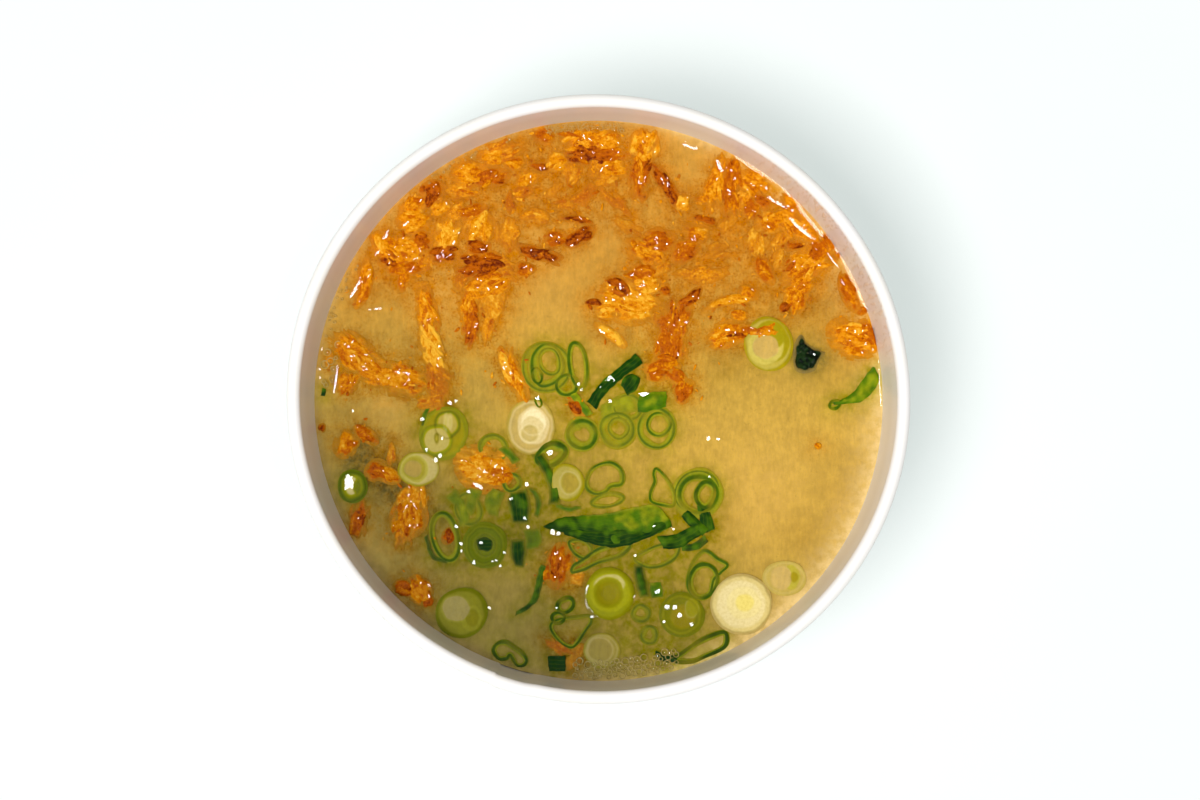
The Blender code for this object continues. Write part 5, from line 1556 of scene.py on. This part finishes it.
def add_froth():
    """Small bubbles that gather at the wall: a ring in the surface, pale as a painted reflection, under a
    clear dome.
    """
    draw = random.Random(41)
    rings, domes = Shape(), Shape()
    taken = []
    for start, end, near, far, least, most, number in FROTH:
        for _ in range(number * 6):
            if sum(1 for row in taken if row[3] == start) >= number:
                break
            angle = math.radians(draw.uniform(start, end))
            radius = least + (most - least) * draw.random() ** 1.6
            out = inner_radius(angle, LEVEL) - radius - draw.uniform(near, far)
            x, y = out * math.cos(angle), out * math.sin(angle)
            if any(math.hypot(x - tx, y - ty) < (radius + tr) * 0.92 for tx, ty, tr, _ in taken):
                continue
            taken.append((x, y, radius, start))
    for x, y, radius, _ in taken:
        steps = 18
        circle = oval(x, y, radius, radius, 0, steps)
        out = outward(circle)
        thick = 0.06 + 0.05 * radius
        section = ((-1, 0.0), (0, 0.8), (1, 0.0), (0, -0.8))
        rows = [in_plane(circle + out * across * thick, LEVEL + 0.12 + rise * thick)
                for across, rise in section]
        rings.add(np.concatenate(rows), grid_faces(4, steps, True, True))
        tall = [(math.cos(t), math.sin(t)) for t in np.radians((4, 20, 36, 52, 68, 82))]
        rows = [
            in_plane(oval(x, y, radius * wide, radius * wide, 0, steps), LEVEL + 0.08 + radius * 0.6 * rise)
            for wide, rise in tall
        ]
        domes.add(np.concatenate(rows), grid_faces(len(rows), steps, False, True))
        first = domes.count - steps * len(rows)
        domes.faces.append([first + steps * (len(rows) - 1) + i for i in range(steps)])
        domes.faces.append([first + i for i in range(steps)][::-1])
    rings.finish("bubble_rings", froth_skin_sheen, (), "broth")
    domes.finish("bubble_domes", clear_film, (), "broth")


add_drops()
add_froth()


# ---------------------------------------------------------------- soup

def surface_fields(x, y):
    """Climb of the surface at what floats, and the haze round it."""
    climb, green, amber = np.zeros_like(x), np.zeros_like(x), np.zeros_like(x)
    for outline, rise, reach, green_share, amber_share, filled in afloat.rows:
        low, high = outline.min(0) - 7, outline.max(0) + 7
        near = (x > low[0]) & (x < high[0]) & (y > low[1]) & (y < high[1])
        if not near.any():
            continue
        distance = away_from(x[near], y[near], outline, filled)
        if rise:
            climb[near] = np.maximum(climb[near], rise * np.exp(-distance / reach))
        green[near] = 1 - (1 - green[near]) * (1 - green_share * np.exp(-((distance / GREEN_REACH) ** 1.3)))
        amber[near] = 1 - (1 - amber[near]) * (1 - amber_share * np.exp(-((distance / AMBER_REACH) ** 1.3)))
    return climb, green, amber


GREEN_REACH = 1.7
AMBER_REACH = 1.9


def make_surface(steps):
    unit_x, unit_y, faces, edge = disc_grid(steps + 1, steps + 1)
    angle = np.arctan2(unit_y, unit_x)
    wall = inner_radius(angle, LEVEL + FILM_CLIMB)
    x, y = unit_x * wall, unit_y * wall
    gap = wall - np.hypot(x, y)
    return x, y, gap, angle, faces, edge


def patches(x, y, rows):
    """Soft round patches: rows of (x, y, reach, share)."""
    share_left = np.ones_like(x)
    for px, py, reach, share in rows:
        share_left *= 1 - share * np.exp(-((x - px) ** 2 + (y - py) ** 2) / reach**2)
    return 1 - share_left


# soft patches under the surface: (x, y, reach, share)
WEED = (
    (-46, -9, 3, 0.8), (-43, -12, 3.5, 0.7), (-40, -16, 4, 0.9), (-35, -15.8, 3.5, 0.8),
    (-36, -20, 3, 0.5), (-31, -22, 3, 0.6), (-46.5, -13, 3, 0.7), (39.4, 8, 3.4, 0.95),
    (42.4, 8, 2, 0.5), (-17, -24, 4, 0.4), (-27, -29, 4, 0.3), (-11, -26, 4, 0.3),
)
GREENS = (
    (7, -46, 7, 0.6), (12, -47, 6, 0.45), (-1, -43, 7, 0.15), (3, -1, 6, 0.6), (-8, -2, 5, 0.4),
    (-9.5, 6, 4, 0.5), (-18, -20, 8, 0.5), (8, -38, 7, 0.6), (-27, -5, 4, 0.7), (3, -29, 7, 0.4),
    (13, -31, 7, 0.5), (-24, -28, 6, 0.5), (-10, -14, 5, 0.5), (45, -1, 3, 0.15),
)
AMBERS = (
    (-37, 30, 9, 0.4), (-24, 38, 9, 0.4), (-6, 46, 9, 0.4), (28, 36, 8, 0.5), (37, 28, 8, 0.6),
    (38, 20, 5, 0.5), (-21, 22, 6, 0.4), (-41, 6, 6, 0.4), (13, 12, 5, 0.4), (20, -24, 5, 0.3),
    (14, 4, 4, 0.4), (-5, -34, 4, 0.3),
)
CLOUDS = (
    (32, -17, 10, 0.45), (-8, 18, 8, 0.15), (48, -20, 6, 0.3), (-30, 20, 6, 0.6), (-13, 28, 7, 0.5),
    (-40, -1, 4, 0.4), (2, 33, 5, 0.25), (19, 43, 3, 0.3), (-50, 4, 5, 0.3), (-46, -28, 6, 0.2),
)
DEEPS = (
    (24, 6, 4.5, 0.75), (45, 5, 4, 0.6), (41, -27, 6, 0.95), (46, -18, 5, 0.7), (2, 7, 4, 0.3),
    (40, 19, 4, 0.7), (48.5, -12, 4, 0.5), (-38, 20, 5, 0.2), (43, 15, 4, 0.35),
)


def make_broth_body():
    """Cloudy broth below the clear top, filling the bowl to its wall."""
    x, y, gap, angle, faces, edge = make_surface(BODY_STEPS)
    depth = CLEAR_DEPTH * (1 - np.exp(-gap / SKIN_REACH))
    climb = FILM_CLIMB * wall_share(angle) * np.exp(-gap / FILM_REACH)
    z = LEVEL - depth + climb - 0.12
    z = z + 0.03 * rough(np.column_stack([x, y, np.zeros_like(x)]), 6.0, 3) * smooth(gap, 1, 4)
    _, green, amber = surface_fields(x, y)
    green = 1 - (1 - green) * (1 - patches(x, y, GREENS))
    amber = 1 - (1 - amber) * (1 - patches(x, y, AMBERS))
    # pale edge: the white wall showing through the shallow broth, plus painted light, stronger and wider
    # towards the right, where the wall is lit
    side = np.cos(angle - LIT_EDGE_ANGLE)
    reach = 0.9 + 1.9 * smooth(side, 0.0, 0.9)
    pale = (0.35 + 0.6 * smooth(side, -0.2, 0.6)) * np.exp(-((np.maximum(gap, 0) / reach) ** 1.2))
    shape = Shape("green_haze", "amber_haze", "dark_haze", "pale_edge_and_painted_light", "cloudy", "deep")
    inset = 1 - 0.05 / np.maximum(np.hypot(x, y), 1)
    shape.add(
        np.column_stack([x * inset, y * inset, z]), faces,
        green_haze=green, amber_haze=amber, pale_edge_and_painted_light=pale, dark_haze=patches(x, y, WEED),
        cloudy=patches(x, y, CLOUDS), deep=patches(x, y, DEEPS),
    )
    ring = angle[edge]
    rows = []
    for height in (*BODY_HEIGHTS, FLOOR_TOP + GAP):
        radius = inner_radius(ring, height) - GAP
        tall = np.full(len(ring), height)
        rows.append(np.column_stack([radius * np.cos(ring), radius * np.sin(ring), tall]))
    close_below(shape, edge, rows, (0.0, 0.0, FLOOR_TOP + GAP))
    shape.finish("cloudy_broth_body", cloudy_broth, ("soup",), "broth")


# where the pale edge's painted light is strongest: the right
LIT_EDGE_ANGLE = math.radians(-5.0)


def make_film_sheet():
    """The clear top of the soup, climbing the wall and whatever floats."""
    x, y, gap, angle, faces, edge = make_surface(FILM_STEPS)
    climb, _, _ = surface_fields(x, y)
    uneven = wall_share(angle)
    wall_climb = FILM_CLIMB * uneven * np.exp(-gap / FILM_REACH)
    flat = np.column_stack([x, y, np.zeros_like(x)])
    ripple = 0.012 * rough(flat, 5.0, 9)
    z = LEVEL + wall_climb + climb * smooth(gap, 0.0, 2.0) + ripple * smooth(gap, 0.3, 2.5)
    shape = Shape()
    shape.add(np.column_stack([x, y, z]), faces)
    ring = angle[edge]
    rows = []
    for gap in (0.02, 0.6, 1.4, 2.8, 5.0, 9.0):
        radius = inner_radius(ring, LEVEL + FILM_CLIMB) - gap
        under = LEVEL + (z[edge] - LEVEL) * np.exp(-gap / FILM_REACH) - 0.1
        rows.append(np.column_stack([radius * np.cos(ring), radius * np.sin(ring), under]))
    close_below(shape, edge, rows, (0.0, 0.0, LEVEL - 0.1))
    shape.finish("clear_soup_film", clear_film, ("soup",), "broth")


# where the surface climbs the wall: (angle, half its spread, share of the full climb), in degrees
WALL_WET = ((40.0, 6.0, 0.5), (56.0, 5.0, 0.3), (24.0, 6.0, 0.3), (250.0, 9.0, 0.3), (300.0, 9.0, 0.3))


def wall_share(angle):
    """Share of the full climb at an angle."""
    share = 0.12 + 0.03 * wander(angle, 9, 5)
    for middle, spread, most in WALL_WET:
        away = (angle - math.radians(middle) + math.pi) % (2 * math.pi) - math.pi
        share = share + (most - 0.12) * np.exp(-((away / math.radians(spread)) ** 2))
    return share


make_broth_body()
make_film_sheet()


# ---------------------------------------------------------------- stage

RIG_HEIGHT = 1.5


def make_floor():
    """A wide pale table that the bowl stands on."""
    mesh = bpy.data.meshes.new("pale_table")
    half = 6.0
    corners = [(-half, -half, 0), (half, -half, 0), (half, half, 0), (-half, half, 0)]
    mesh.from_pydata(corners, [], [(0, 1, 2, 3)])
    floor = bpy.data.objects.new("pale_table", mesh)
    bpy.context.collection.objects.link(floor)
    material, tree, shader = new_material("pale_table_top", Roughness=0.9)
    patch = cloud(tree, place_of(tree), 60.0, 2.0)
    tint = mix(tree, ease(tree, patch, 0.2, 0.8), (0.445, 0.44, 0.435, 1.0), (0.46, 0.455, 0.45, 1.0))
    tree.links.new(tint, shader.inputs["Base Color"])
    shader.inputs["Specular IOR Level"].default_value = 0.0
    shader.inputs["Emission Color"].default_value = (0.455, 0.52, 0.505, 1.0)
    shader.inputs["Emission Strength"].default_value = 1.0
    mesh.materials.append(material)


def add_softbox(name, azimuth, elevation, distance, size, radiance):
    """A square softbox that faces the soup; azimuth is measured from +X towards +Y."""
    light = bpy.data.lights.new(name, "AREA")
    light.size = size
    light.energy = radiance * math.pi * size * size
    piece = bpy.data.objects.new(name, light)
    bpy.context.collection.objects.link(piece)
    a, e = math.radians(azimuth), math.radians(elevation)
    away = Vector((math.cos(a) * math.cos(e), math.sin(a) * math.cos(e), math.sin(e)))
    piece.location = Vector((0, 0, LEVEL * MM)) + away * distance
    piece.rotation_mode = "QUATERNION"
    piece.rotation_quaternion = away.to_track_quat("Z", "Y")


def make_world():
    world = bpy.data.worlds.new("room")
    world.use_nodes = True
    tree = world.node_tree
    tree.nodes.clear()
    path = put(tree, "ShaderNodeLightPath")
    fill = put(tree, "ShaderNodeBackground", {"Color": (1.0, 0.985, 0.97, 1.0), "Strength": 0.28})
    seen = put(tree, "ShaderNodeBackground", {"Color": (0.97, 0.975, 0.98, 1.0), "Strength": 0.95})
    both = put(tree, "ShaderNodeMixShader", {
        0: path.outputs["Is Camera Ray"], 1: fill.outputs[0], 2: seen.outputs[0],
    })
    out = put(tree, "ShaderNodeOutputWorld")
    tree.links.new(both.outputs[0], out.inputs["Surface"])
    bpy.context.scene.world = world


def make_camera():
    """Almost straight down on the soup, from the height of someone standing over it."""
    data = bpy.data.cameras.new("camera")
    data.lens, data.sensor_width = 96.8, 36.0
    data.clip_start, data.clip_end = 0.05, 30.0
    camera = bpy.data.objects.new("camera", data)
    bpy.context.collection.objects.link(camera)
    tilt = math.radians(1.9)
    over_rim = 600.0
    aim = Vector((0.28, -0.37, HEIGHT))
    camera.location = (aim + Vector((0, -math.tan(tilt) * over_rim, over_rim))) * MM
    camera.rotation_euler = (tilt, 0, 0)
    bpy.context.scene.camera = camera


make_floor()
add_softbox("window", 220, 74, RIG_HEIGHT, 0.42, 36.0)
add_softbox("side_panel", -20, 80, RIG_HEIGHT, 0.12, 50.0)
make_world()
make_camera()
bpy.context.scene.view_settings.view_transform = "Standard"
